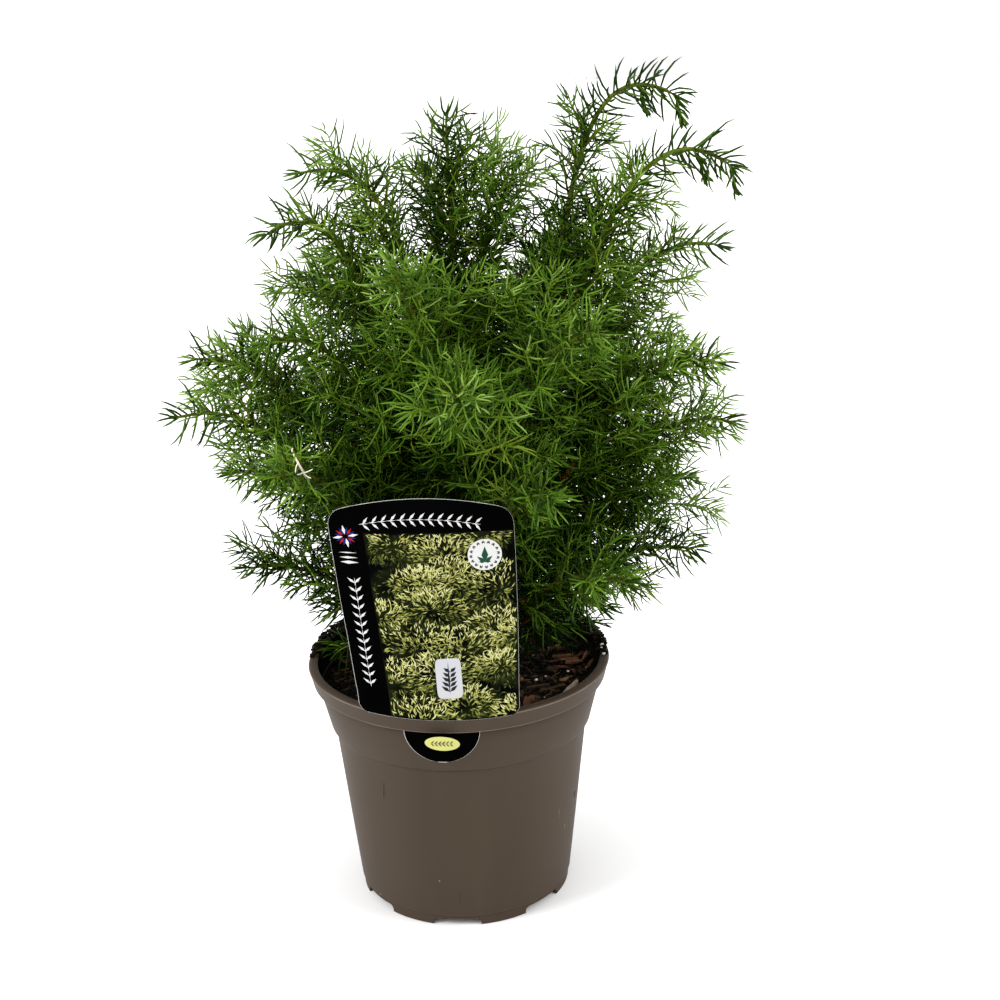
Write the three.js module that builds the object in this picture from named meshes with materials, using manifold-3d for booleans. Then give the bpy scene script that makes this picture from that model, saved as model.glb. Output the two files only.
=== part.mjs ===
// A young cryptomeria in a 3 litre nursery pot, in millimetres, +Z up.
// The origin is the centre of the pot's flat underside, and the plant's front, with the label, faces -Y.
// The pot, the compost, the hooked label and the trunk are single solids. Each bough of the table below is
// one limb, and each mass of foliage is one solid: a stem with side twigs, and needles drawn out of both.

import * as THREE from 'three';
import { mergeVertices } from 'three/addons/utils/BufferGeometryUtils.js';
import Module from 'manifold-3d';

const wasm = await Module();
wasm.setup();

// ---------------------------------------------------------------- driving dimensions

const GAP = 0.3;                       // clearance between neighbouring solids
const OVERCUT = 1;                     // how far a cutting solid runs past the face that it opens

const POT = {
  height: 155, rimRadius: 95, rimInner: 89.2, segments: 32,
  footRadius: 67.4, footInner: 62.5, footHeight: 7.5, floor: 6, padRadius: 15,
  bodyBottomRadius: 68.6, bodyTopRadius: 80.2, bodyTop: 112.3,
  collarBottomRadius: 82.9, collarBottom: 115.3, collarTopRadius: 89.9, collarTop: 144,
  skirtRadius: 92.6, skirtWall: 1.2, partingLine: 153.8, lip: 1.6, ledge: 1.8, wall: 2,
  notches: 7, notchHalf: 15, notchHeight: 4.6, notchShoulder: 5, notchStart: -6,
  drains: 4, drainRadius: 6, drainCircle: 42,
};

const COMPOST = {
  top: 141.7, flatRadius: 14, edgeDrop: 0.9,
  chips: 7, chipThickness: 3, chipLift: 0.3, chipReach: [24, 76], chipSeed: 3,
};

const LABEL = {
  thickness: 0.6, columns: 6,
  slotRadius: 90.65, cardBottom: 155.5, cardTop: 285.5, arch: 6, archStart: 250,
  lean: 0.13, uncurl: 1.2,             // outward lean, and how fast the card flattens above the rim
  neck: [-34, 10.5], tongueBottom: 121.8, slotSpare: 0.9,
};

// Shares of the tongue's height at which it is drawn: close together where its rounded end turns.
const TONGUE_SHARES = [0.02, 0.09, 0.25, 0.5, 0.8, 1];

// Height and the card's left and right edge there: the left edge slants, and the corners are rounded.
const CARD_ROWS = [
  [156.2, -36, 27], [158, -41.5, 31.5], [163, -46, 33.8], [170, -49, 34.2], [205, -55.2, 34],
  [240, -61.2, 33.6], [268, -66, 33.2], [276, -67.4, 32.6], [281.5, -66, 31], [285.5, -60, 25],
];

const TRUNK = {
  foot: new THREE.Vector3(1, 0, 142), fork: new THREE.Vector3(6, 3, 238), bow: 2,
  forkRadius: 3.4, taper: 2.4, flare: 3.4, flareHeight: 4, sides: 8,
  rings: [0, 2.5, 6, 12, 30, 55, 78, 96], stride: 12,
};

// Each bough leaves the trunk at `start` with the slope `rise` and ends at azimuth, reach and top with the
// slope `tip` (degrees, azimuth 0 along +X). `spread` is its longest side twig, and `bare` is the outer
// share of it that carries needles but no side twigs. Up to the share `limb` it is a bare limb; where that is 0,
// its mass grows straight from the trunk.
const BOUGH_COLUMNS = ['azimuth', 'reach', 'top', 'start', 'rise', 'tip', 'spread', 'bare', 'limb'];
const BOUGHS = {
  leader_middle: [80, 20, 488, 238.3, 88, 84, 60, 0, 0],
  leader_right: [0, 136, 486, 219, 66, -44, 60, 0.3, 0.4],
  leader_outer: [-8, 163, 456, 210, 56, -38, 56, 0.28, 0.4],
  leader_inner: [24, 50, 460, 230.5, 76, 50, 46, 0, 0],
  leader_left: [178, 86, 458, 219, 75, -14, 46, 0.1, 0.4],
  leader_wide: [188, 104, 424, 207.5, 64, -34, 48, 0.08, 0.4],
  leader_front: [-108, 96, 412, 215.5, 70, 30, 54, 0, 0.38],
  leader_back: [104, 40, 460, 226.5, 76, 60, 52, 0, 0],
  shoulder_right: [8, 160, 402, 197, 50, -16, 54, 0.1, 0.4],
  shoulder_left: [206, 116, 368, 189, 58, -14, 54, 0, 0.38],
  front_high: [-88, 140, 354, 208, 60, 8, 56, 0, 0.38],
  front_right_high: [-50, 130, 382, 202, 58, 15, 56, 0, 0.38],
  back_right_high: [52, 134, 394, 204, 56, -8, 58, 0, 0.38],
  back_left_high: [140, 126, 384, 200, 58, -8, 58, 0, 0.38],
  side_right_high: [-14, 156, 350, 190.5, 44, -12, 54, 0, 0.38],
  side_left_high: [174, 150, 346, 195.5, 45, 0, 48, 0, 0.38],
  side_right: [3, 170, 300, 179, 36, -18, 54, 0, 0.38],
  side_left: [188, 158, 318, 180, 40, -18, 50, 0.05, 0.4],
  front_right: [-66, 130, 290, 186, 40, -6, 56, 0, 0.38],
  front_left: [218, 132, 298, 174, 42, -8, 56, 0, 0.38],
  back_right: [34, 158, 304, 187, 40, -14, 58, 0, 0.38],
  back: [88, 160, 322, 193.5, 42, -14, 60, 0, 0.38],
  back_left: [140, 154, 296, 187.5, 40, -14, 58, 0, 0.38],
  middle_right: [12, 156, 256, 170, 31, -14, 50, 0, 0.38],
  middle_left: [172, 140, 274, 171.5, 34, -12, 50, 0, 0.38],
  low_right: [-10, 150, 216, 163.5, 24, -10, 42, 0, 0],
  low_front_right: [-42, 132, 230, 174, 28, -12, 50, 0, 0],
  low_left: [192, 132, 230, 163, 27, -4, 42, 0, 0],
  low_back_right: [60, 146, 232, 172.5, 30, -16, 54, 0, 0],
  low_back_left: [118, 142, 222, 163.5, 30, -18, 54, 0, 0],
  skirt_right: [-34, 104, 196, 153, 28, -12, 36, 0, 0],
  skirt_left: [216, 96, 200, 156, 30, -12, 36, 0, 0],
};

const LIMB = {
  leaderRadius: 2.4, sideRadius: 1.9, tipRadius: 1.3, longReach: 230,
  sunk: 2.5, sides: 4, steps: 3, pieces: 16,
};
const TWIG = { spacing: 22, rootRadius: 1.1, tipRadius: 0.7, first: 0.12, firstOnBough: 0.26, pieces: 3 };
const NEEDLE = { length: 20, spacing: 7.9, radius: 1, youngLength: 14 };

// What the foliage keeps clear of: the compost, the rim, and a box that holds the label.
const ROOM = {
  overCompost: 147, overRim: 161, rimRadius: 85,
  labelTop: 296, labelBox: [-74, 39], labelCurve: [-68, 34], behindLabel: 3,
};

// ---------------------------------------------------------------- colours

const matt = (color, roughness) => new THREE.MeshStandardMaterial({ color, roughness, metalness: 0 });
const TAUPE_PLASTIC = matt(0x53493f, 0.55);
const DARK_COMPOST = matt(0x1e1b12, 0.95);
const PRINTED_CARD = matt(0x4b4c2a, 0.35);
const BROWN_BARK = matt(0x5a4327, 0.85);
const GREEN_BARK = matt(0x5d5a26, 0.8);
const GREEN_NEEDLES = matt(0x3d6414, 0.6);

// ---------------------------------------------------------------- solids

function toSolid(geometry) {
  const bare = geometry.index ? geometry.clone() : geometry;
  bare.deleteAttribute('normal');
  bare.deleteAttribute('uv');
  const merged = mergeVertices(bare, 1e-4);
  return new wasm.Manifold(new wasm.Mesh({
    numProp: 3,
    vertProperties: new Float32Array(merged.attributes.position.array),
    triVerts: new Uint32Array(merged.index.array),
  }));
}

function toGeometry(solid) {
  const { vertProperties, triVerts } = solid.getMesh();
  const geometry = new THREE.BufferGeometry();
  geometry.setAttribute('position', new THREE.BufferAttribute(new Float32Array(vertProperties), 3));
  geometry.setIndex(new THREE.BufferAttribute(new Uint32Array(triVerts), 1));
  return geometry;
}

// Joins many solids in pairs, which stays quick when there are dozens of them.
function join(solids) {
  let layer = solids;
  while (layer.length > 1) {
    const next = [];
    for (let i = 0; i < layer.length; i += 2) {
      next.push(i + 1 < layer.length ? layer[i].add(layer[i + 1]) : layer[i]);
    }
    layer = next;
  }
  return layer[0];
}

// Keeps the body that holds the stem, and drops scraps that a cut leaves loose.
function largestBody(solid) {
  return solid.decompose().reduce((best, body) => (body.volume() > best.volume() ? body : best));
}

function meshOf(points, faces) {
  const geometry = new THREE.BufferGeometry().setFromPoints(points);
  geometry.setIndex(faces);
  return geometry;
}

// Triangle mesh through rings of equal count, closed by a flat fan at both ends.
function loft(rings) {
  const sides = rings[0].length;
  const faces = [];
  for (let k = 0; k + 1 < rings.length; k += 1) {
    for (let i = 0; i < sides; i += 1) {
      const [a, b] = [k * sides + i, k * sides + ((i + 1) % sides)];
      faces.push(a, b, b + sides, a, b + sides, a + sides);
    }
  }
  const last = (rings.length - 1) * sides;
  for (let i = 1; i + 1 < sides; i += 1) faces.push(0, i + 1, i, last, last + i, last + i + 1);
  return meshOf(rings.flat(), faces);
}

// ---------------------------------------------------------------- the growth rule

const UP = new THREE.Vector3(0, 0, 1);
const GOLDEN_ANGLE = THREE.MathUtils.degToRad(137.508);

// A whole-number hash that gives every twig and needle its own steady number from 0 to 1.
function chance(seed, index, channel) {
  let x = Math.imul(seed, 73856093) ^ Math.imul(index, 19349663) ^ Math.imul(channel, 83492791);
  x = Math.imul(x ^ (x >>> 16), 73244475);
  x = Math.imul(x ^ (x >>> 15), 73244475);
  return ((x ^ (x >>> 16)) & 0xffffff) / 2 ** 24;
}

const swing = (seed, index, channel) => 2 * chance(seed, index, channel) - 1;

function heading(azimuth, elevation) {
  const flat = Math.cos(elevation);
  return new THREE.Vector3(Math.cos(azimuth) * flat, Math.sin(azimuth) * flat, Math.sin(elevation));
}

// Two directions across a shoot: level, and upwards.
function across(axis) {
  const level = new THREE.Vector3().crossVectors(axis, UP);
  if (level.length() < 0.05) level.set(1, 0, 0);
  level.normalize();
  return [level, new THREE.Vector3().crossVectors(level, axis)];
}

function outward(axis, roll) {
  const [level, lift] = across(axis);
  return level.multiplyScalar(Math.cos(roll)).addScaledVector(lift, Math.sin(roll));
}

function trunkCentre(z) {
  const share = (z - TRUNK.foot.z) / (TRUNK.fork.z - TRUNK.foot.z);
  const centre = new THREE.Vector3().lerpVectors(TRUNK.foot, TRUNK.fork, share);
  centre.x += TRUNK.bow * Math.sin(Math.PI * share);
  return centre;
}

function trunkRadius(z) {
  const share = (z - TRUNK.foot.z) / (TRUNK.fork.z - TRUNK.foot.z);
  return TRUNK.forkRadius + TRUNK.taper * (1 - share)
    + TRUNK.flare * Math.exp(-(z - TRUNK.foot.z) / TRUNK.flareHeight);
}

// One shoot: a curve with a radius that tapers from its root to its tip.
class Shoot {
  constructor(points, rootRadius, tipRadius, seed) {
    this.curve = new THREE.CubicBezierCurve3(...points);
    this.length = this.curve.getLength();
    Object.assign(this, { rootRadius, tipRadius, seed });
  }

  at(t) { return this.curve.getPoint(t); }

  along(t) { return this.curve.getTangent(t); }

  radius(t) { return THREE.MathUtils.lerp(this.rootRadius, this.tipRadius, t); }
}

function boughShoot(row, index) {
  const { azimuth, reach, top, start, rise, tip } = row;
  const turn = THREE.MathUtils.degToRad(azimuth);
  const end = new THREE.Vector3(reach * Math.cos(turn), reach * Math.sin(turn), top);
  const middle = trunkCentre(start);
  const course = Math.atan2(end.y - middle.y, end.x - middle.x);
  const onBark = start < TRUNK.fork.z ? trunkRadius(start) : 0;
  const foot = middle.addScaledVector(heading(course, 0), onBark);
  const span = end.distanceTo(foot);
  const leave = heading(course, THREE.MathUtils.degToRad(rise));
  const arrive = heading(course, THREE.MathUtils.degToRad(tip));
  const points = [foot, foot.clone().addScaledVector(leave, span * 0.4),
    end.clone().addScaledVector(arrive, -span * 0.33), end];
  const rootRadius = span > LIMB.longReach ? LIMB.leaderRadius : LIMB.sideRadius;
  return new Shoot(points, rootRadius, LIMB.tipRadius, 11 + 17 * index);
}

// A side shoot leaves its parent at the angle `lean`, turns up a little, and then nods at its tip.
function sideShoot(parent, t, roll, lean, length, nod, seed) {
  const foot = parent.at(t);
  const axis = parent.along(t);
  const leave = outward(axis, roll).multiplyScalar(Math.sin(lean)).addScaledVector(axis, Math.cos(lean));
  const climb = leave.clone().addScaledVector(UP, 0.35).addScaledVector(axis, 0.25).normalize();
  const end = foot.clone().addScaledVector(leave, length * 0.45).addScaledVector(climb, length * 0.5);
  const arrive = climb.clone().addScaledVector(UP, nod).normalize();
  const points = [foot, foot.clone().addScaledVector(leave, length * 0.35),
    end.clone().addScaledVector(arrive, -length * 0.3), end];
  return new Shoot(points, TWIG.rootRadius, TWIG.tipRadius, seed);
}

// Length of the side twigs along a bough: long in its lower part, short at its tip.
const twigShare = (u) => Math.min(1, 0.55 + 2.2 * u) * (1 - u) ** 0.62 + 0.14;

// The tip of the needle that stands on one face of a shoot, at the middle of that face.
function needleTip(shoot, t, roll, index) {
  const axis = shoot.along(t);
  const young = Math.min(1, (shoot.length * (1 - t)) / NEEDLE.youngLength);
  const lean = THREE.MathUtils.degToRad(20 + 46 * young + 10 * swing(shoot.seed, index, 5));
  const length = NEEDLE.length * (0.6 + 0.4 * young) * (0.78 + 0.4 * chance(shoot.seed, index, 6));
  return shoot.at(t)
    .addScaledVector(axis, length * (Math.cos(lean) * 0.92 + 0.09))
    .addScaledVector(outward(axis, roll), length * Math.sin(lean) * 0.92)
    .addScaledVector(UP, length * 0.02);
}

// ---------------------------------------------------------------- room for twigs and needles

// Distance of the label's middle from the pot's axis, and the radius that it is bent to, at a height.
function labelBend(z) {
  const slope = (POT.collarTopRadius - POT.collarBottomRadius) / (POT.collarTop - POT.collarBottom);
  const overCollar = POT.collarTopRadius - (POT.collarTop - z) * slope + GAP + LABEL.thickness;
  const over = Math.max(0, z - LABEL.cardBottom);
  return {
    middle: Math.min(LABEL.slotRadius, overCollar) + over * LABEL.lean,
    radius: LABEL.slotRadius + over * LABEL.uncurl,
  };
}

function labelY(x, z) {
  const { middle, radius } = labelBend(z);
  return -middle + radius - Math.sqrt(radius ** 2 - x ** 2);
}

// Foliage stays above the compost and the rim, and behind the label except over its top edge.
function hasRoom(p) {
  if (p.z < ROOM.overCompost) return false;
  if (p.z < ROOM.overRim && Math.hypot(p.x, p.y) > ROOM.rimRadius) return false;
  const [left, right] = ROOM.labelBox;
  if (p.z > ROOM.labelTop || p.x < left || p.x > right) return true;
  return p.y > labelY(THREE.MathUtils.clamp(p.x, ...ROOM.labelCurve), p.z) + ROOM.behindLabel;
}

const laid = [];                       // the straight pieces already laid

// Shortest distance between the middle lines of two straight pieces.
function distanceBetween(one, other) {
  const d1 = one.to.clone().sub(one.from);
  const d2 = other.to.clone().sub(other.from);
  const r = one.from.clone().sub(other.from);
  const [a, e, f] = [d1.dot(d1), d2.dot(d2), d2.dot(r)];
  const [b, c] = [d1.dot(d2), d1.dot(r)];
  const scale = a * e - b * b;
  let s = scale > 1e-9 ? THREE.MathUtils.clamp((b * f - c * e) / scale, 0, 1) : 0;
  const t = THREE.MathUtils.clamp((b * s + f) / e, 0, 1);
  s = THREE.MathUtils.clamp((b * t - c) / a, 0, 1);
  return one.from.clone().addScaledVector(d1, s).distanceTo(other.from.clone().addScaledVector(d2, t));
}

function piece(from, to, radius, shoot) {
  const middle = from.clone().lerp(to, 0.5);
  return { from, to, radius, shoot, middle, reach: from.distanceTo(to) / 2 + radius };
}

// A piece keeps clear of everything but its own shoot and the one that it stands on.
function isClear(candidate, parent) {
  return laid.every((other) => other.shoot === candidate.shoot || other.shoot === parent
    || other.middle.distanceTo(candidate.middle) > other.reach + candidate.reach + GAP
    || distanceBetween(candidate, other) > candidate.radius + other.radius + GAP);
}

function piecesOf(shoot, from, to, steps) {
  const share = (k) => from + ((to - from) * k) / steps;
  return Array.from({ length: steps }, (_, k) => (
    piece(shoot.at(share(k)), shoot.at(share(k + 1)), shoot.radius(share(k)), shoot)));
}

// ---------------------------------------------------------------- limbs and foliage

// A ring of points that stands square to a shoot.
function ringAcross(centre, axis, radius, sides) {
  return Array.from({ length: sides }, (_, i) => (
    centre.clone().addScaledVector(outward(axis, (-2 * Math.PI * i) / sides), radius)));
}

function taperedTube(shoot, from, to, steps, sides, sunk) {
  const inner = shoot.at(from).addScaledVector(shoot.along(from), -sunk);
  const rings = [ringAcross(inner, shoot.along(from), shoot.radius(from), sides)];
  for (let k = 0; k <= steps; k += 1) {
    const t = from + ((to - from) * k) / steps;
    rings.push(ringAcross(shoot.at(t), shoot.along(t), shoot.radius(t), sides));
  }
  return toSolid(loft(rings));
}

// A spray is a three-sided shoot. Two of every three faces between its rings are drawn out into a needle
// each, where there is room, and the shoot itself ends in a point.
class Spray {
  constructor(shoot, from, sunk) {
    const steps = Math.max(3, Math.round((shoot.length * (1 - from)) / NEEDLE.spacing));
    Object.assign(this, { shoot, from, sunk, steps, tips: new Map() });
  }

  share(k) { return this.from + ((1 - this.from) * k) / this.steps; }

  growNeedles(firstStep) {
    for (let k = firstStep; k + 1 < this.steps; k += 1) {
      for (let side = 0; side < 3; side += 1) {
        if ((k + side) % 3) this.growNeedle(k, side);
      }
    }
  }

  growNeedle(k, side) {
    const t = (this.share(k) + this.share(k + 1)) / 2;
    const roll = (-2 * Math.PI * (side + 0.5)) / 3;
    const tip = needleTip(this.shoot, t, roll, 3 * k + side);
    const edges = [this.share(k), t, this.share(k + 1)].map((root) => (
      piece(this.shoot.at(root), tip, NEEDLE.radius, this.shoot)));
    if (!hasRoom(tip) || !edges.every((edge) => isClear(edge))) return;
    laid.push(...edges);
    this.tips.set(3 * k + side, tip);
  }

  solid() {
    const { shoot, steps, sunk } = this;
    const points = [];
    for (let k = 0; k < steps; k += 1) {
      const t = this.share(k);
      const centre = shoot.at(t).addScaledVector(shoot.along(t), k ? 0 : -sunk);
      points.push(...ringAcross(centre, shoot.along(t), shoot.radius(t), 3));
    }
    const faces = [0, 2, 1];
    for (let k = 0; k + 1 < steps; k += 1) {
      for (let side = 0; side < 3; side += 1) {
        const [a, b] = [3 * k + side, 3 * k + ((side + 1) % 3)];
        const [c, d] = [a + 3, b + 3];
        const tip = this.tips.get(a);
        if (tip) {
          [[a, b], [b, d], [d, c], [c, a]].forEach((edge) => faces.push(...edge, points.length));
          points.push(tip);
        } else {
          faces.push(a, b, d, a, d, c);
        }
      }
    }
    const last = 3 * (steps - 1);
    for (let side = 0; side < 3; side += 1) {
      faces.push(last + side, last + ((side + 1) % 3), points.length);
    }
    points.push(shoot.at(1));
    return toSolid(meshOf(points, faces));
  }
}

function trunkSolid(growth) {
  const rings = TRUNK.rings.map((height) => Array.from({ length: TRUNK.sides }, (_, i) => {
    const z = TRUNK.foot.z + height;
    const turn = (2 * Math.PI * i) / TRUNK.sides;
    const reach = trunkRadius(z) + growth;
    return trunkCentre(z).add(new THREE.Vector3(Math.cos(turn) * reach, Math.sin(turn) * reach, 0));
  }));
  rings[0].forEach((p) => { p.z -= growth; });
  rings.at(-1).forEach((p) => { p.z += growth; });
  return toSolid(loft(rings));
}

function sideTwigs(stem, row, from) {
  const last = 1 - row.bare;
  const count = Math.floor((stem.length * (last - from)) / TWIG.spacing);
  return Array.from({ length: count }, (_, i) => {
    const u = (i + 0.5 + 0.35 * swing(stem.seed, i, 1)) / count;
    const lean = THREE.MathUtils.degToRad(62 - 24 * u + 9 * swing(stem.seed, i, 2));
    const length = row.spread * twigShare(u) * (0.84 + 0.3 * swing(stem.seed, i, 3));
    const nod = -0.3 - 0.8 * chance(stem.seed, i, 4);
    const t = from + (last - from) * u * 0.97;
    return sideShoot(stem, t, i * GOLDEN_ANGLE + stem.seed, lean, length, nod, stem.seed * 31 + i);
  });
}

class Crown {
  constructor() {
    this.rows = Object.entries(BOUGHS).map(([name, values], index) => {
      const row = Object.fromEntries(BOUGH_COLUMNS.map((column, i) => [column, values[i]]));
      const stem = boughShoot(row, index);
      const massStart = row.limb ? row.limb + (GAP / stem.length) * 1.05 : 0;
      return { ...row, name, stem, massStart, onTrunk: !row.limb && row.start < TRUNK.fork.z };
    });
  }

  layLimbs() {
    for (let z = TRUNK.foot.z; z < TRUNK.fork.z; z += TRUNK.stride) {
      laid.push(piece(trunkCentre(z), trunkCentre(z + TRUNK.stride), trunkRadius(z), TRUNK));
    }
    this.rows.forEach(({ stem }) => laid.push(...piecesOf(stem, 0, 1, LIMB.pieces)));
  }

  layTwigs() {
    this.rows.forEach((row) => {
      const from = Math.max(row.massStart, TWIG.firstOnBough);
      const twigs = sideTwigs(row.stem, row, from).filter((twig) => {
        const pieces = piecesOf(twig, TWIG.first, 1, TWIG.pieces);
        const fits = pieces.every((part) => hasRoom(part.to) && isClear(part, row.stem));
        if (fits) laid.push(...pieces);
        return fits;
      });
      const stemSpray = new Spray(row.stem, row.massStart, row.onTrunk ? LIMB.sunk : 0);
      row.sprays = [stemSpray, ...twigs.map((twig) => new Spray(twig, 0, 0))];
    });
  }

  layNeedles() {
    this.rows.forEach(({ sprays }) => sprays.forEach((spray) => spray.growNeedles(1)));
  }

  boughSolid(row) {
    const limb = taperedTube(row.stem, 0, row.limb, LIMB.steps, LIMB.sides, LIMB.sunk);
    return largestBody(limb.subtract(trunkSolid(GAP)));
  }

  massSolid(row) {
    const whole = join(row.sprays.map((spray) => spray.solid()));
    return largestBody(row.onTrunk ? whole.subtract(trunkSolid(GAP)) : whole);
  }
}

// ---------------------------------------------------------------- pot, compost and label

function lathe(profile, segments) {
  const geometry = new THREE.LatheGeometry(profile.map(([r, z]) => new THREE.Vector2(r, z)), segments);
  geometry.rotateX(Math.PI / 2);
  return toSolid(geometry);
}

// A prism that stands on the outline, from one height to another.
function prism(shape, from, to, curveSegments) {
  const geometry = new THREE.ExtrudeGeometry(shape, { depth: to - from, bevelEnabled: false, curveSegments });
  geometry.translate(0, 0, from);
  return toSolid(geometry);
}

// Inner radius of the pot at a height: straight from the floor to the collar's foot, and on to its top.
function innerWall(z) {
  const [low, high] = z <= POT.bodyTop
    ? [[POT.footHeight, POT.bodyBottomRadius], [POT.bodyTop, POT.bodyTopRadius]]
    : [[POT.bodyTop, POT.bodyTopRadius], [POT.collarTop, POT.collarTopRadius]];
  return THREE.MathUtils.mapLinear(z, low[0], high[0], low[1], high[1]) - POT.wall;
}

function potSolid() {
  const ledgeUnder = POT.height - POT.ledge;
  const profile = [
    [0, 0], [POT.padRadius, 0], [POT.padRadius, POT.floor - POT.wall],
    [POT.footInner, POT.floor - POT.wall], [POT.footInner + 1, 0], [POT.footRadius, 0],
    [POT.footRadius, POT.footHeight], [POT.bodyBottomRadius, POT.footHeight],
    [POT.bodyTopRadius, POT.bodyTop], [POT.collarBottomRadius, POT.collarBottom],
    [POT.collarTopRadius, POT.collarTop], [POT.collarTopRadius, ledgeUnder],
    [POT.rimRadius - POT.skirtWall, ledgeUnder], [POT.skirtRadius - POT.skirtWall, POT.collarTop],
    [POT.skirtRadius, POT.collarTop], [POT.rimRadius, POT.partingLine],
    [POT.rimRadius - POT.lip, POT.height], [POT.rimInner, POT.height],
    [innerWall(POT.collarTop), POT.collarTop], [innerWall(POT.bodyTop), POT.bodyTop],
    [innerWall(POT.floor), POT.floor], [0, POT.floor],
  ];
  let pot = lathe(profile, POT.segments);
  for (let i = 0; i < POT.notches; i += 1) {
    const turn = THREE.MathUtils.degToRad(-90 + POT.notchStart) + (2 * Math.PI * i) / POT.notches;
    pot = pot.subtract(footNotch(turn));
  }
  for (let i = 0; i < POT.drains; i += 1) {
    const turn = (2 * Math.PI * (i + 0.5)) / POT.drains;
    const hole = new THREE.Shape().absarc(
      POT.drainCircle * Math.cos(turn), POT.drainCircle * Math.sin(turn), POT.drainRadius, 0, 2 * Math.PI);
    pot = pot.subtract(prism(hole, -OVERCUT, POT.floor + OVERCUT, 3));
  }
  return pot.subtract(labelSlot());
}

// A low arch through the foot ring, which lets water out.
function footNotch(turn) {
  const [half, shoulder] = [POT.notchHalf, POT.notchHalf - POT.notchShoulder];
  const arch = new THREE.Shape([
    [-half, -OVERCUT], [half, -OVERCUT], [half - OVERCUT, POT.notchHeight * 0.75],
    [shoulder, POT.notchHeight], [-shoulder, POT.notchHeight], [OVERCUT - half, POT.notchHeight * 0.75],
  ].map(([x, z]) => new THREE.Vector2(x, z)));
  const start = POT.footInner - POT.notchShoulder;
  const depth = POT.bodyBottomRadius + OVERCUT - start;
  const geometry = new THREE.ExtrudeGeometry(arch, { depth, bevelEnabled: false });
  geometry.rotateX(Math.PI / 2);
  geometry.rotateZ(Math.PI / 2);
  geometry.translate(start, 0, 0);
  geometry.rotateZ(turn);
  return toSolid(geometry);
}

// The slit in the rim's ledge that the label's neck passes through.
function labelSlot() {
  const half = LABEL.thickness / 2 + GAP;
  const angleOf = (x) => -Math.PI / 2 + Math.asin(x / LABEL.slotRadius);
  const from = angleOf(LABEL.neck[0] - LABEL.slotSpare);
  const to = angleOf(LABEL.neck[1] + LABEL.slotSpare);
  const slit = new THREE.Shape();
  slit.absarc(0, 0, LABEL.slotRadius + half, from, to);
  slit.absarc(0, 0, LABEL.slotRadius - half, to, from, true);
  return prism(slit, POT.collarTop + 2 * OVERCUT, POT.height + OVERCUT, 6);
}

function compostSolid() {
  const underFloor = POT.floor + GAP;
  const rim = COMPOST.top - COMPOST.edgeDrop;
  let compost = lathe([
    [0, underFloor], [innerWall(underFloor) - GAP, underFloor],
    [innerWall(POT.bodyTop) - GAP, POT.bodyTop], [innerWall(rim) - GAP, rim],
    [COMPOST.flatRadius, COMPOST.top], [0, COMPOST.top],
  ], POT.segments);
  for (let i = 0; i < COMPOST.chips; i += 1) compost = compost.add(barkChip(i));
  return compost;
}

function barkChip(i) {
  const draw = (channel) => chance(COMPOST.chipSeed, i, channel);
  const chip = new THREE.BoxGeometry(8 + 5 * draw(1), 4 + 3 * draw(2), COMPOST.chipThickness);
  chip.rotateX(0.6 * draw(3) - 0.3);
  chip.rotateY(0.4 * draw(4) - 0.2);
  chip.rotateZ(Math.PI * draw(5));
  const turn = i * GOLDEN_ANGLE;
  const reach = THREE.MathUtils.lerp(...COMPOST.chipReach, draw(6));
  chip.translate(reach * Math.cos(turn), reach * Math.sin(turn), COMPOST.top + COMPOST.chipLift);
  return toSolid(chip);
}

// The label is one bent sheet: tongue below the rim, neck through its slit, and card above.
function labelSolid() {
  const centre = (LABEL.neck[0] + LABEL.neck[1]) / 2;
  const half = (LABEL.neck[1] - LABEL.neck[0]) / 2;
  const drop = POT.collarTop - 0.5 - LABEL.tongueBottom;
  const tongue = TONGUE_SHARES.map((share) => {
    const width = half * Math.sqrt(1 - (1 - share) ** 2);
    return [LABEL.tongueBottom + drop * share, centre - width, centre + width];
  });
  const rows = [...tongue, [LABEL.cardBottom, ...LABEL.neck], ...CARD_ROWS];
  const shell = (offset) => rows.map(([z, left, right]) => (
    Array.from({ length: LABEL.columns + 1 }, (_, i) => {
      const u = i / LABEL.columns;
      const x = THREE.MathUtils.lerp(left, right, u);
      const curved = THREE.MathUtils.smoothstep(z, LABEL.archStart, LABEL.cardTop) * (1 - (2 * u - 1) ** 2);
      return new THREE.Vector3(x, labelY(x, z) + offset, z + LABEL.arch * curved);
    })));
  return toSolid(sheet(shell(-LABEL.thickness / 2), shell(LABEL.thickness / 2)));
}

// A closed mesh between two grids of points, front and back.
function sheet(front, back) {
  const [rows, columns] = [front.length, front[0].length];
  const id = (side, i, j) => side * rows * columns + i * columns + j;
  const faces = [];
  const quad = (a, b, c, d) => faces.push(a, b, c, a, c, d);
  for (let i = 0; i + 1 < rows; i += 1) {
    for (let j = 0; j + 1 < columns; j += 1) {
      quad(id(0, i, j), id(0, i, j + 1), id(0, i + 1, j + 1), id(0, i + 1, j));
      quad(id(1, i, j), id(1, i + 1, j), id(1, i + 1, j + 1), id(1, i, j + 1));
    }
    quad(id(0, i, 0), id(0, i + 1, 0), id(1, i + 1, 0), id(1, i, 0));
    quad(id(0, i, columns - 1), id(1, i, columns - 1), id(1, i + 1, columns - 1), id(0, i + 1, columns - 1));
  }
  for (let j = 0; j + 1 < columns; j += 1) {
    quad(id(0, 0, j), id(1, 0, j), id(1, 0, j + 1), id(0, 0, j + 1));
    quad(id(0, rows - 1, j), id(0, rows - 1, j + 1), id(1, rows - 1, j + 1), id(1, rows - 1, j));
  }
  return meshOf([...front.flat(), ...back.flat()], faces);
}

// ---------------------------------------------------------------- assembly

const plant = new THREE.Group();

function addPart(name, solid, material) {
  const mesh = new THREE.Mesh(toGeometry(solid), material);
  mesh.name = name;
  plant.add(mesh);
}

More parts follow.
